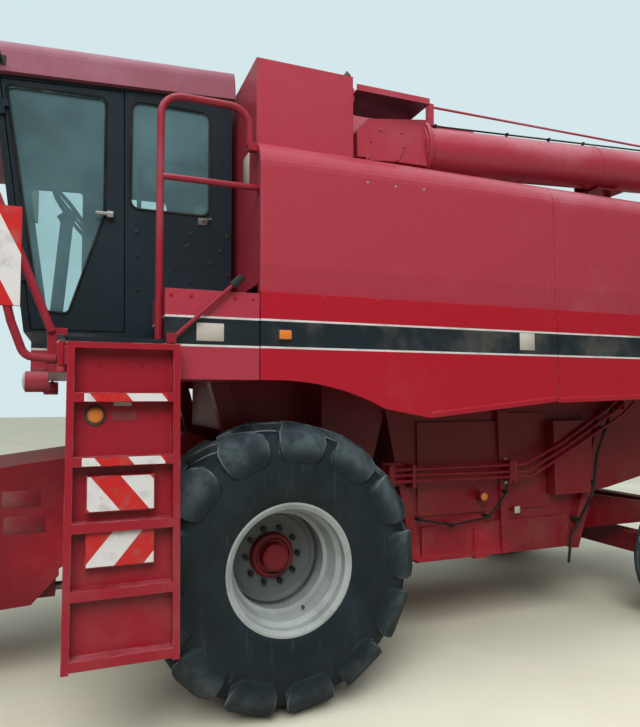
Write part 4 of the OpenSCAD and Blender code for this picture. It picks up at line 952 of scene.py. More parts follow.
def realized(obj: bpy.types.Object, name: str) -> bpy.types.Mesh:
    """Returns the plain mesh that an object's modifiers make, and removes the object."""
    graph = bpy.context.evaluated_depsgraph_get()
    mesh = bpy.data.meshes.new_from_object(obj.evaluated_get(graph), depsgraph=graph)
    mesh.name = name
    source = obj.data
    bpy.data.objects.remove(obj)
    if source.users == 0:
        bpy.data.meshes.remove(source)
    return mesh


class RingTree(RepeatTree):
    """Repeats a mesh round an axis along Y."""

    def __init__(self) -> None:
        """Builds the tree once, with inputs for the count and the axis' place."""
        super().__init__("round_the_axle", (("Count", "Int"), ("Centre", "Vector")))
        start, line = self.start, self.node("GeometryNodeMeshLine")
        line.inputs["Offset"].default_value = (0, 0, 0)
        spread, turn = self.node("GeometryNodeInstanceOnPoints"), self.node("ShaderNodeCombineXYZ")
        index, step = self.node("GeometryNodeInputIndex"), self.node("ShaderNodeMath", operation="DIVIDE")
        back, forth = self.node("GeometryNodeTransform"), self.node("GeometryNodeTransform")
        minus = self.node("ShaderNodeVectorMath", operation="SCALE")
        minus.inputs["Scale"].default_value = -1.0
        self.wire((start, "Count", line, "Count"), (line, 0, spread, "Points"), (start, "Centre", minus, 0),
                  (start, "Geometry", back, "Geometry"), (minus, 0, back, "Translation"),
                  (back, 0, spread, "Instance"), (index, 0, step, 0), (start, "Count", step, 1),
                  (self.scaled(step, "Value", 2 * math.pi), 0, turn, "Y"), (turn, 0, spread, "Rotation"),
                  (start, "Centre", forth, "Translation"))
        self.close(spread, forth)

    def repeat(self, name: str, mesh: bpy.types.Mesh, centre: Vector, count: int,
               finish: bpy.types.Material) -> bpy.types.Mesh:
        """Returns one mesh with count copies of mesh round the axle at centre."""
        return self.run(name, mesh, {"Count": count, "Centre": tuple(centre), "Finish": finish})


def joined(name: str, meshes: Sequence[bpy.types.Mesh]) -> bpy.types.Mesh:
    """Returns one mesh that holds several, with their materials kept."""
    bm = bmesh.new()
    materials: list[bpy.types.Material] = []
    for mesh in meshes:
        before = len(bm.faces)
        bm.from_mesh(mesh)
        bm.faces.ensure_lookup_table()
        own = list(mesh.materials) or [None]
        places = []
        for m in own:
            if m not in materials:
                materials.append(m)
            places.append(materials.index(m))
        for i in range(before, len(bm.faces)):
            bm.faces[i].material_index = places[min(bm.faces[i].material_index, len(places) - 1)]
    out = bpy.data.meshes.new(name)
    bm.to_mesh(out)
    bm.free()
    for m in materials:
        out.materials.append(m)
    return out


# Finishes. Behind the name and the colour, metals give metallic, roughness, grime and rust, and plain ones
# give roughness, dust and grain.
RED_FADED = PaintFinish("paint_red_faded", PALETTE.red_faded, PALETTE.red_chalk, fade=0.42, dirt=0.22,
                        gloss=0.27)
RED_ROOF = PaintFinish("paint_red_roof", PALETTE.roof_red, PALETTE.roof_chalk, fade=0.50, dirt=0.25,
                       gloss=0.36, coat=0.10)
RED_BOX = StripedPaint("paint_red_box", PALETTE.red_faded, PALETTE.red_chalk, fade=0.45, dirt=0.50,
                       gloss=0.28)
RED_BODY = PaintFinish("paint_red_body", PALETTE.red_dark, PALETTE.red_deep, fade=0.32, dirt=0.16,
                       gloss=0.38, waviness=0.003)
# The tank's faces that look down are nearly black with painted shade.
RED_TANK = PaintFinish("paint_red_tank", PALETTE.red_faded, PALETTE.red_chalk, fade=0.50, dirt=0.30,
                       gloss=0.30, under=0.92)
RED_RAIL = PaintFinish("paint_red_rail", PALETTE.rail_red, PALETTE.rail_faded, fade=0.45, dirt=0.25,
                       gloss=0.28, wear=0.4, waviness=0.0)
RED_LADDER = PaintFinish("paint_red_ladder", PALETTE.ladder_red, PALETTE.red_chalk, fade=0.22, dirt=0.20,
                         gloss=0.36, wear=0.8, waviness=0.002)
RED_STRIPED = StripedPaint("paint_red_striped", PALETTE.red_deep, PALETTE.red_faded, fade=0.06, dirt=0.08,
                           gloss=0.30, coat=0.06)
CAB_BLACK = PaintFinish("paint_cab_black", PALETTE.black_blue, PALETTE.black_faded, fade=0.5, dirt=0.03,
                        gloss=0.40, wear=0.22, waviness=0.002, coat=0.05)
WINDOW = GlassFinish("window_glass")
PLASTIC = PlainFinish("moulded_plastic", (0.02, 0.021, 0.023))
CABLE = PlainFinish("cable_jacket", (0.008, 0.008, 0.009), 0.6, 0.12)
SEAT_CLOTH = PlainFinish("seat_cloth", (0.03, 0.03, 0.033), 0.9, 0.35, 600.0)
ZINC = MetalFinish("zinc_plated", PALETTE.steel, 0.8, 0.38, 0.5, 0.3)
CAST = MetalFinish("cast_iron", (0.05, 0.048, 0.045), 0.3, 0.6, 0.75, 0.4)
CHAIN = MetalFinish("chain_steel", (0.10, 0.095, 0.09), 0.6, 0.5, 0.7, 0.6)
BRIGHT = MetalFinish("bright_steel", (0.62, 0.62, 0.60), 0.75, 0.28, 0.25, 0.1)
BOLT = MetalFinish("bolt_steel", (0.06, 0.06, 0.058), 0.7, 0.5, 0.5, 0.5)
SCREEN = PlainFinish("screen_sheet", (0.03, 0.03, 0.03), 0.6, 0.5)
RUBBER_SEAL = PlainFinish("rubber_seal", (0.006, 0.007, 0.008), 0.5, 0.08)
RED_BOLT = PaintFinish("paint_red_bolt", PALETTE.red_deep, PALETTE.red_faded, fade=0.3, dirt=0.2,
                       waviness=0.0)
RED_PLATE = PlainFinish("blank_red_plate", (0.22, 0.02, 0.03), 0.4, 0.25)
MIRROR = MetalFinish("mirror_silver", (0.72, 0.75, 0.76), 1.0, 0.05, 0.08, 0.0)
LAMP_GLASS = PlainFinish("lamp_glass", (0.55, 0.58, 0.58), 0.12, 0.12)
AMBER = PlainFinish("amber_lens", PALETTE.amber, 0.25, 0.15)
CREAM = PlainFinish("blank_label", (0.55, 0.50, 0.44), 0.5, 0.3)


@dataclass
class Studio:
    """Pale floor, soft light and the camera at the photo's viewpoint.

    Attributes:
        drawing: the drawing's place in the frame.
        eye: the camera's place in the drawing, in millimetres.
        yaw: turn of the view from straight across the machine towards its rear, in degrees.
        pitch: upward tilt of the view, in degrees.
        roll: turn about the view's own line, in degrees.
        lens: focal length for a 36 mm wide film along the picture's long side.
        floor_dull, floor_bright: colours of the floor as the camera sees it.
        floor_glow: the floor's colour for the light that it gives back.
        sky_low, sky_high: colours of the sky's light below and above the level line.
        sky_seen: the sky's colour as the camera sees it.
        aim: the point that the lamps face, in the drawing.
    """

    drawing: Drawing
    eye: Point = (1114.0, 4698.0, 1731.0)
    yaw: float = 21.64
    pitch: float = 3.22
    roll: float = -0.115
    lens: float = 30.66
    floor_dull: Colour = (0.86, 0.81, 0.64)
    floor_bright: Colour = (0.97, 0.92, 0.73)
    floor_glow: Colour = (0.36, 0.33, 0.27)
    sky_low: Colour = (0.20, 0.19, 0.16)
    sky_high: Colour = (0.76, 0.87, 0.93)
    sky_seen: Colour = (0.66, 0.80, 0.83)
    aim: Point = (-1200.0, 0.0, 1600.0)

    def build(self) -> None:
        """Makes the floor, the sky, the lights and the camera."""
        self.floor()
        self.sky()
        self.lights()
        self.camera()

    def floor(self) -> None:
        """Makes a plain pale floor."""
        mesh = Shape().box(Vector((-60, -60, -0.06)), Vector((60, 60, -0.002))).mesh("floor")
        g = Graph("pale_floor")
        bright = g.mix(g.patches(0.7, 6.0, 0.3, 0.75), self.floor_dull, self.floor_bright)
        colour = g.mix(g.node("LightPath").outputs["Is Camera Ray"], self.floor_glow, bright)
        mesh.materials.append(g.finish(colour, 0.9, g.bump(g.noise(30.0, 6.0), 0.2, 0.01)))
        floor = bpy.data.objects.new("floor", mesh)
        bpy.context.scene.collection.objects.link(floor)

    def sky(self) -> None:
        """Makes a sky that lights from above and is one colour to the camera."""
        world = bpy.data.worlds.new("studio_sky")
        bpy.context.scene.world = world
        world.use_nodes = True
        tree = world.node_tree
        tree.nodes.clear()
        out, pick, light, seen, ramp, gradient, mapping, place, path = (
            tree.nodes.new("ShaderNode" + kind) for kind in (
                "OutputWorld", "MixShader", "Background", "Background", "ValToRGB", "TexGradient", "Mapping",
                "TexCoord", "LightPath"))
        mapping.inputs["Rotation"].default_value = (0, math.radians(90), 0)
        low, high = ramp.color_ramp.elements
        low.color, high.color = (*self.sky_low, 1), (*self.sky_high, 1)
        low.position, high.position = 0.42, 0.60
        light.inputs["Strength"].default_value = 0.82
        seen.inputs["Color"].default_value = (*self.sky_seen, 1)
        for source, output, target, into in (
                (place, "Generated", mapping, 0), (mapping, 0, gradient, 0), (gradient, "Fac", ramp, 0),
                (ramp, 0, light, "Color"), (path, "Is Camera Ray", pick, 0), (light, 0, pick, 1),
                (seen, 0, pick, 2), (pick, 0, out, 0)):
            tree.links.new(source.outputs[output], target.inputs[into])

    def lights(self) -> None:
        """Hangs a wide lamp beside the machine and one over it."""
        # Columns: name, place in the drawing, width in metres, power in watts
        for name, place, size, power in (("key_lamp", (3500.0, 9500.0, 9000.0), 7.0, 1020.0),
                                         ("top_lamp", (-1500.0, 1500.0, 12000.0), 9.0, 420.0)):
            data = bpy.data.lights.new(name, "AREA")
            data.size = size
            data.energy = power
            lamp = bpy.data.objects.new(name, data)
            lamp.visible_glossy = False
            lamp.location = self.drawing.at(*place)
            way = self.drawing.at(*self.aim) - lamp.location
            lamp.rotation_euler = way.to_track_quat("-Z", "Y").to_euler()
            bpy.context.scene.collection.objects.link(lamp)

    def camera(self) -> None:
        """Sets the camera where the photo was taken."""
        data = bpy.data.cameras.new("photo_view")
        data.sensor_fit = "AUTO"
        data.sensor_width = 36.0
        data.lens = self.lens
        yaw, pitch = math.radians(self.yaw), math.radians(self.pitch)
        level = math.cos(pitch)
        ahead = Vector((-math.sin(yaw) * level, -math.cos(yaw) * level, math.sin(pitch)))
        roll = Matrix.Rotation(math.radians(self.roll), 4, "Z").to_quaternion()
        turn = ahead.to_track_quat("-Z", "Y") @ roll
        camera = bpy.data.objects.new("photo_view", data)
        camera.location = self.drawing.at(*self.eye)
        camera.rotation_euler = turn.to_euler()
        bpy.context.scene.collection.objects.link(camera)
        bpy.context.scene.camera = camera


@dataclass
class Wheels:
    """Tyres with their lugs, ribs and rims.

    Attributes:
        shop: materials and pieces.
        ring: the tree that repeats a lug round the axle.
        lugs: lugs on one half of a front tyre.
        lug_height: how far a lug stands over the front tyre's carcass, in metres.
        groove: depth of a rear tyre's grooves.
        flare: how much wider a lug's foot is than its top, in radians.
    """

    shop: Workshop
    ring: RingTree
    lugs: int = 13
    lug_height: float = 0.048
    groove: float = 0.020
    flare: float = 0.018

    def build(self) -> None:
        """Builds the four wheels."""
        for side in Side:
            self.front(f"front_{side.word}")
            self.rear(f"rear_{side.word}")

    def middle(self, node: str) -> tuple[Vector, float, float]:
        """Returns a tyre's or a rim's centre, radius and half width."""
        low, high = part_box(node)
        return (low + high) / 2, (high.z - low.z) / 2, (high.y - low.y) / 2

    def front(self, place: str) -> None:
        """Builds the front tyre at a place of the machine, with its two rows of lugs."""
        centre, r, w = self.middle(f"tyre_{place}")
        rim_r = self.middle(f"rim_{place}")[1]
        rubber = self.shop.material(RubberFinish(f"rubber_{place}", centre, r - 0.05, 0.12))
        word = place.removeprefix("front_")
        lug_rubber = self.shop.material(RubberFinish(f"rubber_lugs_{word}", centre, r - 0.10, 0.68))
        self.shop.dress(RimFinish(f"rim_paint_{place}", centre, hub_r=0.137, nut_r=0.160, nut_w=0.018,
                                  disc_y=abs(centre.y) - 0.110, disc_r=0.264), f"rim_{place}")
        floor_r = r - self.lug_height
        # Columns: radius, share of the half width
        outline = ((rim_r - 0.022, 0.80), (rim_r + 0.004, 0.87), (rim_r + 0.03, 0.90), (rim_r + 0.07, 0.955),
                   (0.50, 0.985), (0.56, 0.975), (0.62, 0.945), (0.67, 0.885), (0.705, 0.81),
                   (floor_r - 0.022, 0.74), (floor_r - 0.008, 0.62), (floor_r, 0.3), (floor_r, 0.0))
        half = [(radius, share * w) for radius, share in outline]
        carcass = Shape().lathe(centre, half + [(a, -b) for a, b in half[-2::-1]], 128).mesh("carcass", 60)
        carcass.materials.append(rubber)
        rows = []
        for row, turn in ((1, 0.0), (-1, math.pi / self.lugs)):
            lug = self.lug(centre, r, w, row, turn)
            rows.append(self.ring.repeat(f"lugs_{row}", lug, centre, self.lugs, lug_rubber))
        name = f"front_tyre_{word}"
        mesh = joined(name, [carcass, *rows])
        mesh.shade_smooth()
        mesh.set_sharp_from_angle(angle=math.radians(42))
        self.shop.piece(name, mesh, f"wheel_{place}", "tyre", None, [f"tyre_{place}"])

    def lug(self, centre: Vector, r: float, w: float, row: int, turn: float) -> bpy.types.Mesh:
        """Makes one lug: a bar that runs from the tread's middle and widens over the shoulder.

        Args:
            centre: the wheel's centre.
            r: radius over the lugs.
            w: the tyre's half width.
            row: 1 for the left row, -1 for the right one.
            turn: place round the tyre, in radians.

        Returns:
            The lug's mesh, standing on top of the tyre.
        """
        # Columns: share of the half width, angles of the bar's front and rear edge, depth of its top and of
        # its foot under the lugs' radius
        sections = ((-0.08, 0.235, 0.125, 0.0, 0.075), (0.10, 0.195, 0.075, 0.0, 0.075),
                    (0.40, 0.080, -0.055, 0.002, 0.080), (0.57, 0.030, -0.140, 0.006, 0.090),
                    (0.72, 0.055, -0.210, 0.018, 0.110), (0.86, 0.092, -0.270, 0.046, 0.145),
                    (0.955, 0.105, -0.285, 0.090, 0.175), (0.995, 0.100, -0.280, 0.140, 0.205),
                    (1.000, 0.088, -0.255, 0.190, 0.225), (0.990, 0.055, -0.205, 0.214, 0.232))
        shape = Shape()
        rings = []
        for share, front, rear, top, foot in sections:
            y, foot_y = (centre.y + row * s * w for s in (share, min(share, 0.90)))
            corners = ((rear - self.flare, r - foot, foot_y), (rear, r - top, y), (front, r - top, y),
                       (front + self.flare, r - foot, foot_y))
            points = [(centre.x + rad * math.sin(a + turn), side, centre.z + rad * math.cos(a + turn))
                      for a, rad, side in corners]
            rings.append([shape.bm.verts.new(point) for point in points])
        for a, b in zip(rings, rings[1:]):
            for i in range(4):
                j = (i + 1) % 4
                shape.bm.faces.new((a[i], a[j], b[j], b[i]))
        shape.bm.faces.new(rings[0])
        shape.bm.faces.new(rings[-1][::-1])
        bmesh.ops.recalc_face_normals(shape.bm, faces=shape.bm.faces)
        return shape.bevel(0.009, 3, 32).mesh("lug", 40)

    def rear(self, place: str) -> None:
        """Builds the rear tyre at a place of the machine, with ribs round it."""
        centre, r, w = self.middle(f"tyre_{place}")
        rim_r = self.middle(f"rim_{place}")[1]
        self.shop.dress(RimFinish(f"rim_paint_{place}", centre, hub_r=0.071, nut_r=0.095, nut_w=0.014,
                                  disc_y=abs(centre.y) + 0.036, disc_r=0.190), f"rim_{place}")
        # Columns: radius, share of the half width
        outline = [(rim_r - 0.016, 0.74), (rim_r + 0.01, 0.84), (rim_r + 0.05, 0.95), (rim_r + 0.10, 1.0),
                   (r - 0.11, 0.99), (r - 0.06, 0.93), (r - 0.022, 0.84), (r - 0.006, 0.70)]
        for share in (0.62, 0.30, -0.02):
            outline += [(r, share + 0.04), (r, share - 0.13), (r - self.groove, share - 0.16),
                        (r - self.groove, share - 0.24)]
        half = [(radius, share * w) for radius, share in outline if share >= 0]
        name = f"rear_tyre_{place.removeprefix('rear_')}"
        tyre = Shape().lathe(centre, half + [(a, -b) for a, b in half[::-1]], 96)
        rubber = RubberFinish(f"rubber_{place}", centre, r - 0.03)
        self.shop.form(name, tyre, f"wheel_{place}", "tyre", rubber, 40, [f"tyre_{place}"])


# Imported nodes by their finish
DRESS = (
    (RED_FADED, "side_left side_right unloader engine_deck rear_hood"),
    (RED_ROOF, "cab_roof"),
    (RED_TANK, "grain_tank tank_cover"),
    (RED_RAIL, "handrails"),
    (RED_STRIPED, "shield_left shield_right"),
    (RED_BOX, "platform"),
    (RED_BODY, "frame rear_axle separator_body grain_elevator auger_rest feeder_house lift_barrels "
               "side_lines"),
    (RED_LADDER, "ladder"),
    (CAB_BLACK, "cab_shell cab_door"),
    (WINDOW, "cab_glass door_glass"),
    (SEAT_CLOTH, "seat"),
    (PLASTIC, "controls mirrors"),
    (CAST, "front_axle engine exhaust knuckle_left knuckle_right tie_rod"),
    (ZINC, "tank_augers lift_rods spreader_left spreader_right"),
    (SCREEN, "air_screen"),
    (CABLE, "harness unloader_cable"),
    (CHAIN, "feeder_chain"),
)


@dataclass
class Bodywork:
    """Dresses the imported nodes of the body, the cab and the running gear."""

    shop: Workshop

    def build(self) -> None:
        """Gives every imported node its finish."""
        for finish, nodes in DRESS:
            self.shop.dress(finish, *nodes.split())


@dataclass
class Upholstery:
    """The driver's seat: a rigid base and cushions that a cloth simulation fills.

    Attributes:
        shop: materials and pieces.
        middle_y: the seat's place across the cab, in millimetres.
        floor_z: height of the cab's floor.
    """

    shop: Workshop
    middle_y: float = 80.0
    floor_z: float = 2145.0

    def build(self) -> None:
        """Builds the base and the padded pieces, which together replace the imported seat."""
        self.base()
        # Columns: name, low and high corner from the seat's middle on the floor, lean of the top towards the
        # rear in degrees, how far a point may swell
        for name, low, high, lean, cap in (
                ("seat_cushion", (446, -264, 206), (934, 264, 414), 0.0, 0.014),
                ("seat_back", (342, -244, 424), (434, 244, 996), 3.0, 0.014),
                ("head_rest", (330, -144, 1006), (372, 144, 1156), 7.0, 0.008),
                ("arm_rest_left", (424, 279, 564), (756, 331, 616), 0.0, 0.004),
                ("arm_rest_right", (424, -331, 564), (756, -279, 616), 0.0, 0.004)):
            self.cushion(name, low, high, lean, cap)

    def place(self, x: float, y: float, z: float) -> Vector:
        """Returns the frame's point for a place given from the seat's middle on the floor."""
        return self.shop.drawing.at(x, y + self.middle_y, z + self.floor_z)

    def base(self) -> None:
        """Builds the suspension box with its bellows, and the arm rests' posts."""
        shape = Shape()
        for i in range(8):
            z = 4 + i * 24
            inset = 0 if i % 2 else 12
            shape.box(self.place(484 + inset, -196 + inset, z), self.place(896 - inset, 196 - inset, z + 24))
        shape.bevel(0.003, 1, 60)
        for side in (1, -1):
            a, b = sorted((side * 252, side * 333))
            shape.box(self.place(424, a, 522), self.place(466, b, 562))
        shape.box(self.place(380, -120, 190), self.place(470, 120, 440))
        self.shop.form("seat_base", shape, "chassis", "plastic", PLASTIC, replaces=["seat"])

    def cushion(self, name: str, low: Point, high: Point, lean: float, cap: float) -> None:
        """Builds one padded piece.

        Args:
            name: the piece's name.
            low: its lowest corner from the seat's middle on the floor.
            high: its highest corner.
            lean: tilt towards the rear, in degrees.
            cap: how far a point may move as the cover fills, in metres.
        """
        a, b = self.place(*low), self.place(*high)
        inset = Vector((cap, cap, cap)) * 0.8
        turn = Matrix.Rotation(math.radians(-lean), 4, "Y")
        size = b - a
        mesh = Shape().box(a + inset, b - inset, turn).bevel(min(size) * 0.22, 4).mesh(name, 60)
        obj = bpy.data.objects.new(name + "_form", mesh)
        bpy.context.scene.collection.objects.link(obj)
        remesh = obj.modifiers.new("even_faces", "REMESH")
        remesh.mode = "VOXEL"
        remesh.voxel_size = max(0.005, min(size) * 0.07)
        mesh = realized(obj, name)
        mesh = self.filled(mesh, name, cap)
        self.seams(mesh, a, b)
        mesh.shade_smooth()
        piece = self.shop.piece(name, mesh, "chassis", "seat_fabric", SEAT_CLOTH)

    def filled(self, mesh: bpy.types.Mesh, name: str, cap: float) -> bpy.types.Mesh:
        """Returns the mesh as a cover that pressure has filled, no point moved by more than cap."""
        scene, frames = bpy.context.scene, 20
        obj = bpy.data.objects.new(name + "_cover", mesh)
        scene.collection.objects.link(obj)
        cloth = obj.modifiers.new("cover", "CLOTH")
        cloth.settings.use_pressure = True
        cloth.settings.uniform_pressure_force = 4.0
        cloth.settings.effector_weights.gravity = 0.0
        cloth.settings.quality = 4
        cloth.point_cache.frame_start = 1
        cloth.point_cache.frame_end = frames
        start = [v.co.copy() for v in mesh.vertices]
        for frame in range(1, frames + 1):
            scene.frame_set(frame)
        out = realized(obj, name)
        scene.frame_set(1)
        for vertex, origin in zip(out.vertices, start):
            move = vertex.co - origin
            if move.length > cap:
                vertex.co = origin + move * (cap / move.length)
        return out

    def seams(self, mesh: bpy.types.Mesh, low: Vector, high: Vector) -> None:
        """Presses sewn channels into a cushion's broad faces."""
        size = high - low
        thin = min(range(3), key=lambda i: size[i])
        across = 1 if thin != 1 else 0
        middle = (low + high) / 2
        channels, half_width, deepest, flat_share = (-0.27, 0.27), 0.007, 0.006, 0.49
        for vertex in mesh.vertices:
            offset = vertex.co[across] - middle[across]
            depth = 0.0
            for share in channels:
                gap = (offset - share * size[across]) / half_width
                depth += deepest * math.exp(-gap * gap)
            if abs(offset) < flat_share * size[across]:
                sign = 1.0 if vertex.co[thin] > middle[thin] else -1.0
                vertex.co[thin] -= sign * depth * min(1.0, size[thin] / 0.1)


@dataclass
class Details:
    """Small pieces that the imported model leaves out: lamps, reflectors, labels, bolts, seals and latches.

    Attributes:
        shop: materials and pieces.
        bolts: the tree that sets bolt heads.
        side_y: the side sheets' outer face, in millimetres, as the sizes below.
        shield_y: the shields' outer face.
        cab_y: the cab's outer face.
        ladder_top: height of the ladder's top.
        ladder_foot: height of its foot.
        ladder_lean: how far the ladder leans, in degrees.
        mirror: middle of the left mirror's lower edge.
        mirror_turn: how far the mirrors are turned, in degrees.
    """

    shop: Workshop
    bolts: BoltTree
    side_y: float = 1500.0
    shield_y: float = 1510.0
    cab_y: float = 950.0
    ladder_top: float = 1996.0
    ladder_foot: float = 505.0
    ladder_lean: float = 3.2
    mirror: Point = (1527.0, 1600.0, 3400.0)
    mirror_turn: float = 22.0

    def build(self) -> None:
        """Builds every small piece."""
        self.ladder_boards()
        self.lamps()
        self.labels()
        self.cab_fittings()
        self.bolt_heads()
        self.warning_board()
        self.mirror_glass()
        self.side_fittings()

    def at(self, x: float, y: float, z: float) -> Vector:
        """Returns the frame's point for a point of the drawing in millimetres."""
        return self.shop.drawing.at(x, y, z)

    def block(self, name: str, low: Point, high: Point, finish: object, body: str = "chassis",
              round_off: float = 0.0015) -> None:
        """Builds a small rounded block between two corners of the drawing."""
        shape = Shape().box(self.at(*low), self.at(*high)).bevel(round_off, 2)
        self.shop.form(name, shape, body, "plastic", finish)

    def ladder_face(self) -> Vector:
        """Returns the direction that the leaning ladder faces."""
        lean = math.radians(self.ladder_lean)
        return Vector((0, math.cos(lean), math.sin(lean)))

    def on_ladder(self, x: float, out: float, up: float) -> Vector:
        """Returns a point on the leaning ladder.

        Args:
            x: place along the machine, in millimetres.
            out: distance from the ladder's back plate.
            up: height against the ladder's top, along the ladder.

        Returns:
            The point in the frame.
        """
        lean = math.radians(self.ladder_lean)
        return self.at(x, self.side_y + 18 + out * math.cos(lean) - up * math.sin(lean),
                       self.ladder_top + out * math.sin(lean) + up * math.cos(lean))

    def slab(self, place: tuple[float, float, float, float], out: float, thick: float) -> Shape:
        """Returns a thin plate on the ladder.

        Args:
            place: its two ends along the machine, then its lower and upper edge along the ladder.
            out: distance of its back from the ladder's back plate.
            thick: its thickness.

        Returns:
            The plate.
        """
        x0, x1, up0, up1 = place
        corners = [self.on_ladder(x, out, up) for x, up in ((x0, up0), (x1, up0), (x1, up1), (x0, up1))]
        return Shape().plate(corners, self.on_ladder(x0, out + thick, up0) - corners[0])

    def ladder_boards(self) -> None:
        """Builds the striped boards on the trays and the tapes on the upper steps' lips."""
        board_out, board_lean, tape_out, tape_lean = 55.0, 0.83, 80.0, 0.8
        # Columns: name, lower and upper edge along the ladder, side to which the bands lean, place at the
        # lower edge where a red band starts
        for name, up0, up1, way, red_x in (("upper_board", -792, -633, 1, 768.0),
                                           ("lower_board", -1042, -881, -1, 792.0)):
            start = self.at(red_x, 0, 0).x - way * board_lean * self.on_ladder(0.0, board_out, up0).z
            bands = WarningStripes(name + "_bands", 0.268, way * board_lean, start)
            board = self.slab((749, 1050, up0, up1), board_out, 1.6).bevel(0.0006, 1)
            self.shop.form(name, board, "ladder", "red_paint", bands)
        height = (self.ladder_top - self.ladder_foot) / math.cos(math.radians(self.ladder_lean))
        first_step, last_rise, rises, lip = 55, 240, 4, 42
        rise = (height - first_step - last_rise) / rises
        # Columns: name, step from below, ends of the tape, width of a band pair, place where a red band
        # starts
        for name, step, x0, x1, wide, red_x in (("upper_tape", 4, 690, 1070, 0.330, 850.0),
                                                ("second_tape", 3, 700, 1075, 0.300, 840.0)):
            top = -height + first_step + step * rise
            start = self.at(red_x, 0, 0).x - tape_lean * self.on_ladder(0.0, tape_out, top - lip).z
            bands = WarningStripes(name + "_bands", wide, tape_lean, start)
            tape = self.slab((x0, x1, top - lip, top - 4), tape_out, 0.8)
            self.shop.form(name, tape, "ladder", "red_paint", bands)

    def lens(self, name: str, centre: Vector, radius: float, way: Vector, body: str, finish: object,
             ring: object | None = None) -> None:
        """Builds a domed lens, in a ring if the ring's finish is given."""
        dome = ((0.0, 0.30), (0.35, 0.28), (0.70, 0.20), (0.94, 0.08), (1.0, 0.0), (0.0, 0.0))
        rim = ((1.02, 0.0), (1.34, 0.0), (1.34, 0.10), (1.20, 0.20), (1.02, 0.16))
        for part, outline, look in ((name, dome, finish), (name + "_ring", rim, ring)):
            if look is not None:
                shape = Shape().lathe(centre, [(r * radius, h * radius) for r, h in outline], 40, way)
                self.shop.form(part, shape, body, "plastic", look, 50)

    def lamps(self) -> None:
        """Builds the amber markers and the lenses of the driving lamps."""
        self.lens("ladder_reflector", self.on_ladder(1018, 6.0, -345), 0.038, self.ladder_face(), "ladder",
                  AMBER, PLASTIC)
        for side in Side:
            centre, way = self.at(-1637, side.value * 960.2, 1023), Vector((0, side.value, 0))
            self.lens(f"marker_lens_{side.word}", centre, 0.027, way, "chassis", AMBER)
        for side in Side:
            word, s = side.word, side.value
            y = s * self.shield_y
            a, b = sorted((y, y + s * 6)), sorted((y + s * 6, y + s * 20))
            self.block(f"side_marker_base_{word}", (14, a[0], 2044), (96, a[1], 2106), PLASTIC)
            self.block(f"side_marker_{word}", (20, b[0], 2050), (90, b[1], 2100), AMBER, round_off=0.006)
            self.lens(f"driving_lens_{word}", self.at(1354.2, s * 1100, 1822), 0.050, Vector((1, 0, 0)),
                      "chassis", LAMP_GLASS)

    def labels(self) -> None:
        """Builds the blank plates where the machine carries its signs."""
        y, shield = self.side_y, self.shield_y
        # Columns: name, low corner, high corner, finish, body
        for name, low, high, finish, body in (
                ("tool_box_plate", (388, y, 2030), (532, y + 1.2, 2124), CREAM, "chassis"),
                ("rear_plate", (-1640, shield, 2036), (-1522, shield + 1.2, 2146), CREAM, "chassis"),
                ("post_plate", (-1998, 900, 874), (-1948, 901.2, 924), CREAM, "chassis"),
                ("tank_front_plate", (170, 1045, 3010), (171.2, 1185, 3200), CREAM, "chassis"),
                ("feeder_plate_high", (1290, 550, 1085), (1500, 551.2, 1180), RED_PLATE, "feeder"),
                ("feeder_plate_low", (1262, 550, 925), (1490, 551.2, 1030), RED_PLATE, "feeder")):
            self.block(name, low, high, finish, body, 0.0003)
        for name, place, finish in (("ladder_plate_high", (852, 936, -300, -276), CREAM),
                                    ("ladder_plate_low", (828, 944, -372, -326), RED_PLATE)):
            self.shop.form(name, self.slab(place, 6.0, 0.8), "ladder", "plastic", finish)

    def seal(self, name: str, corners: Sequence[tuple[float, float]], radius: float, y: float,
             body: str = "chassis") -> None:
        """Builds a rubber seal round a window.

        Args:
            name: the piece's name.
            corners: the window's corners, as place along the machine and height.
            radius: how rounded its corners are, in millimetres.
            y: the outer face that it lies on.
            body: the body it rides on.
        """
        points = [self.at(x, y, z) for x, z in corners]
        start = (points[-1] + points[0]) / 2
        path = rounded_path([start, *points, start], radius * MM)
        self.shop.form(name, Shape().tube(path, 0.008, 8), body, "plastic", RUBBER_SEAL, 60)

    def cab_fittings(self) -> None:
        """Builds the windows' seals, the door handle, the latch, the hoop behind the rear window, a cap."""
        at, y, form = self.at, self.cab_y, self.shop.form
        rear = ((360, 2850), (828, 2850), (828, 3505), (360, 3505))
        self.seal("door_seal", ((970, 3492), (970, 2792), (1154, 2211), (1308, 2220), (1500, 3476)), 36, y,
                  "cab_door")
        edge = [at(x, 904.9, z) for x, z in ((833, 2170), (871, 2170), (890, 3560), (852, 3560))]
        form("door_jamb_seal", Shape().plate(edge, Vector((0, -0.007, 0))), "chassis", "plastic", RUBBER_SEAL)
        self.seal("rear_seal_left", rear, 60, y)
        self.seal("rear_seal_right", rear, 60, -y)
        self.seal("right_seal", ((1068, 2260), (1320, 2260), (1494, 3492), (1068, 3512)), 50, -y)
        handle = Shape().box(at(921, y + 5, 2777), at(958, y + 36, 2813)).bevel(0.004, 3)
        handle.tube([at(924, y + 28, 2796), at(1020, y + 30, 2796)], 0.012, 16)
        form("door_handle", handle, "cab_door", "zinc", BRIGHT, 50)
        latch = Shape().box(at(372, y, 2792), at(430, y + 8, 2836)).bevel(0.003, 2)
        latch.tube([at(400, y + 8, 2816), at(400, y + 30, 2816), at(352, y + 34, 2828)], 0.006, 10)
        form("window_latch", latch, "chassis", "zinc", ZINC, 50)
        hoop = rounded_path([at(755, 700, 2900), at(755, 700, 3320), at(330, 700, 3336),
                             at(330, 700, 2900)], 0.09)
        form("cab_hoop", Shape().tube(hoop, 0.014, 12), "chassis", "plastic", PLASTIC, 60)
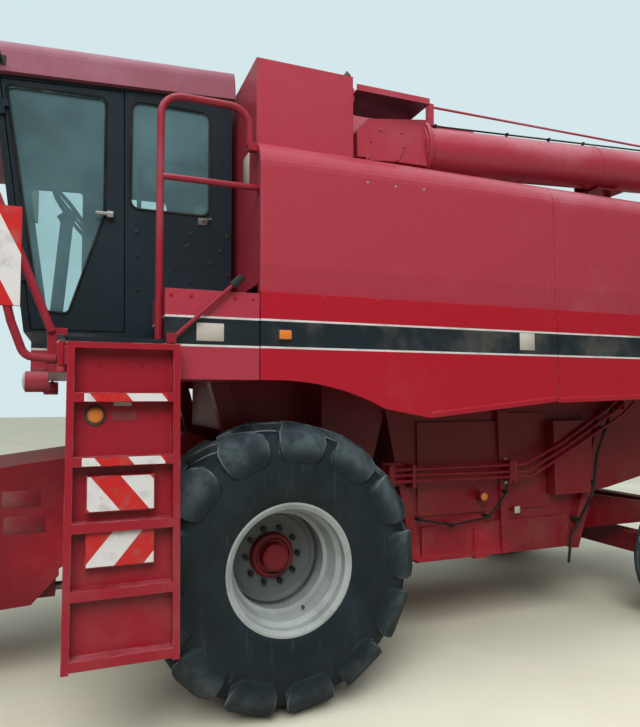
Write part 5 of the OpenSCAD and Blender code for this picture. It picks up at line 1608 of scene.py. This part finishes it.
        cap = Shape().lathe(at(-410, 1318, 3700), [(0.0, 0.037), (0.008, 0.036), (0.014, 0.020),
                                                   (0.022, 0.016), (0.024, 0.0), (0.0, 0.0)], 24,
                            Vector((0, 0, 1)))
        form("tank_cap", cap, "chassis", "plastic", PLASTIC, 50)

    def bolt_heads(self) -> None:
        """Sets bolt heads on the sheets, the cab's lower wall, the ladder and the lower body."""
        at, left = self.at, Vector((0, 1, 0))
        bright = [(at(x, self.side_y, z), left) for x, z in ((-458, 2989), (-643, 2988), (-838, 2993))]
        self.heads("sheet_bolts", bright, 0.006, 0.004, BRIGHT)
        wall = ((788, 2716), (785, 2573), (779, 2372), (471, 2730), (494, 2655), (248, 2733), (292, 2641),
                (468, 2435), (240, 2496), (560, 2520), (352, 2560))
        self.heads("cab_bolts", [(at(x, self.cab_y, z), left) for x, z in wall], 0.010, 0.007, BOLT)
        rivets = []
        for s in (1, -1):
            rows = [(x, z) for x in (-1800, -1860) for z in (1790, 1960, 2190, 2280)]
            rows += [(150 - i * 330, 2292) for i in range(12)]
            rivets += [(at(x, s * self.shield_y, z), Vector((0, s, 0))) for x, z in rows]
        self.heads("shield_bolts", rivets, 0.005, 0.003, RED_BOLT, sides=12)
        row = [(at(x, s * self.side_y, 2262), Vector((0, s, 0)))
               for s in (1, -1) for x in (230, 330, 560, 664)]
        self.heads("box_bolts", row, 0.007, 0.005, RED_BOLT, sides=12)
        back = [(self.on_ladder(x, 6.0, -105), self.ladder_face()) for x in (735, 805, 850, 895, 1000)]
        self.heads("ladder_bolts", back, 0.006, 0.003, RED_BOLT, "ladder", 12)

    def heads(self, name: str, places: Sequence[tuple[Vector, Vector]], radius: float, height: float,
              finish: object, body: str = "chassis", sides: int = 6) -> None:
        """Builds one piece of several bolt heads."""
        mesh = self.bolts.heads(name, places, radius, height, self.shop.material(finish), sides)
        self.shop.piece(name, mesh, body, "zinc")

    def warning_board(self) -> None:
        """Builds the striped face of the board on the guard loop."""
        lean, foot_z = 0.5, 2.2
        bands = WarningStripes("guard_bands", 0.300, lean, self.at(1400, 0, 0).x - lean * foot_z)
        board = Shape().box(self.at(1361, 1461, 2172), self.at(1469, 1463.5, 2648)).bevel(0.0006, 1)
        self.shop.form("guard_board", board, "chassis", "red_paint", bands)

    def mirror_glass(self) -> None:
        """Builds the mirrors' reflecting faces, which look to the rear."""
        x, y, z = self.mirror
        back, half_width, low, high, thick = -0.0252, 0.098, 0.012, 0.298, 0.0015
        outline = ((-half_width, low), (half_width, low), (half_width, high), (-half_width, high))
        for side in Side:
            turn = Matrix.Rotation(math.radians(self.mirror_turn * side.value), 3, "Z")
            centre = self.at(x, side.value * y, z)
            corners = [centre + turn @ Vector((back, across, up)) for across, up in outline]
            face = Shape().plate(corners, turn @ Vector((-thick, 0, 0)))
            self.shop.form(f"mirror_glass_{side.word}", face, "chassis", "glass", MIRROR)

    def side_fittings(self) -> None:
        """Builds the bright bolts on the rear post, the shut-off lever's black grip and the tyre valves."""
        bolts = [(self.at(-1872, 900, z), Vector((0, 1, 0))) for z in (1275, 1190, 1109)]
        self.heads("post_bolts", bolts, 0.010, 0.007, BRIGHT)
        grip = Shape().tube([self.at(352, 1530, 2322.1), self.at(299, 1530, 2371.9)], 0.0212, 20)
        self.shop.form("lever_grip", grip, "chassis", "plastic", PLASTIC, 50)
        turn, under_rim, off_middle = math.radians(205), 0.060, 0.100
        way = Vector((math.sin(turn), 0, math.cos(turn)))
        for side in Side:
            word, s = side.word, side.value
            low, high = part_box(f"rim_front_{word}")
            radius = (high.z - low.z) / 2 - under_rim
            foot = (low + high) / 2 + Vector((0, s * off_middle, 0)) + way * radius
            # Columns: distance out of the rim, distance towards the axle
            stem = [foot + Vector((0, s * out, 0)) - way * inwards
                    for out, inwards in ((0.0, 0.0), (0.014, 0.026), (0.052, 0.034))]
            self.shop.form(f"valve_{word}", Shape().tube(stem, 0.006, 12), f"wheel_front_{word}", "plastic",
                           PLASTIC, 60)


def main() -> None:
    """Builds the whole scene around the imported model."""
    logging.basicConfig(level=logging.INFO, format="%(name)s %(message)s")
    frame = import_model()
    roll = next(j for j in frame["joints"] if j["name"] == "roll_front_left")
    drawing = Drawing(axle_x=roll["pos_m"][0])
    shop = Workshop(frame, drawing)
    bpy.context.scene.view_settings.view_transform = "Standard"
    Studio(drawing).build()
    Bodywork(shop).build()
    Wheels(shop, RingTree()).build()
    Upholstery(shop).build()
    Details(shop, BoltTree()).build()


if __name__ == "__main__":
    main()
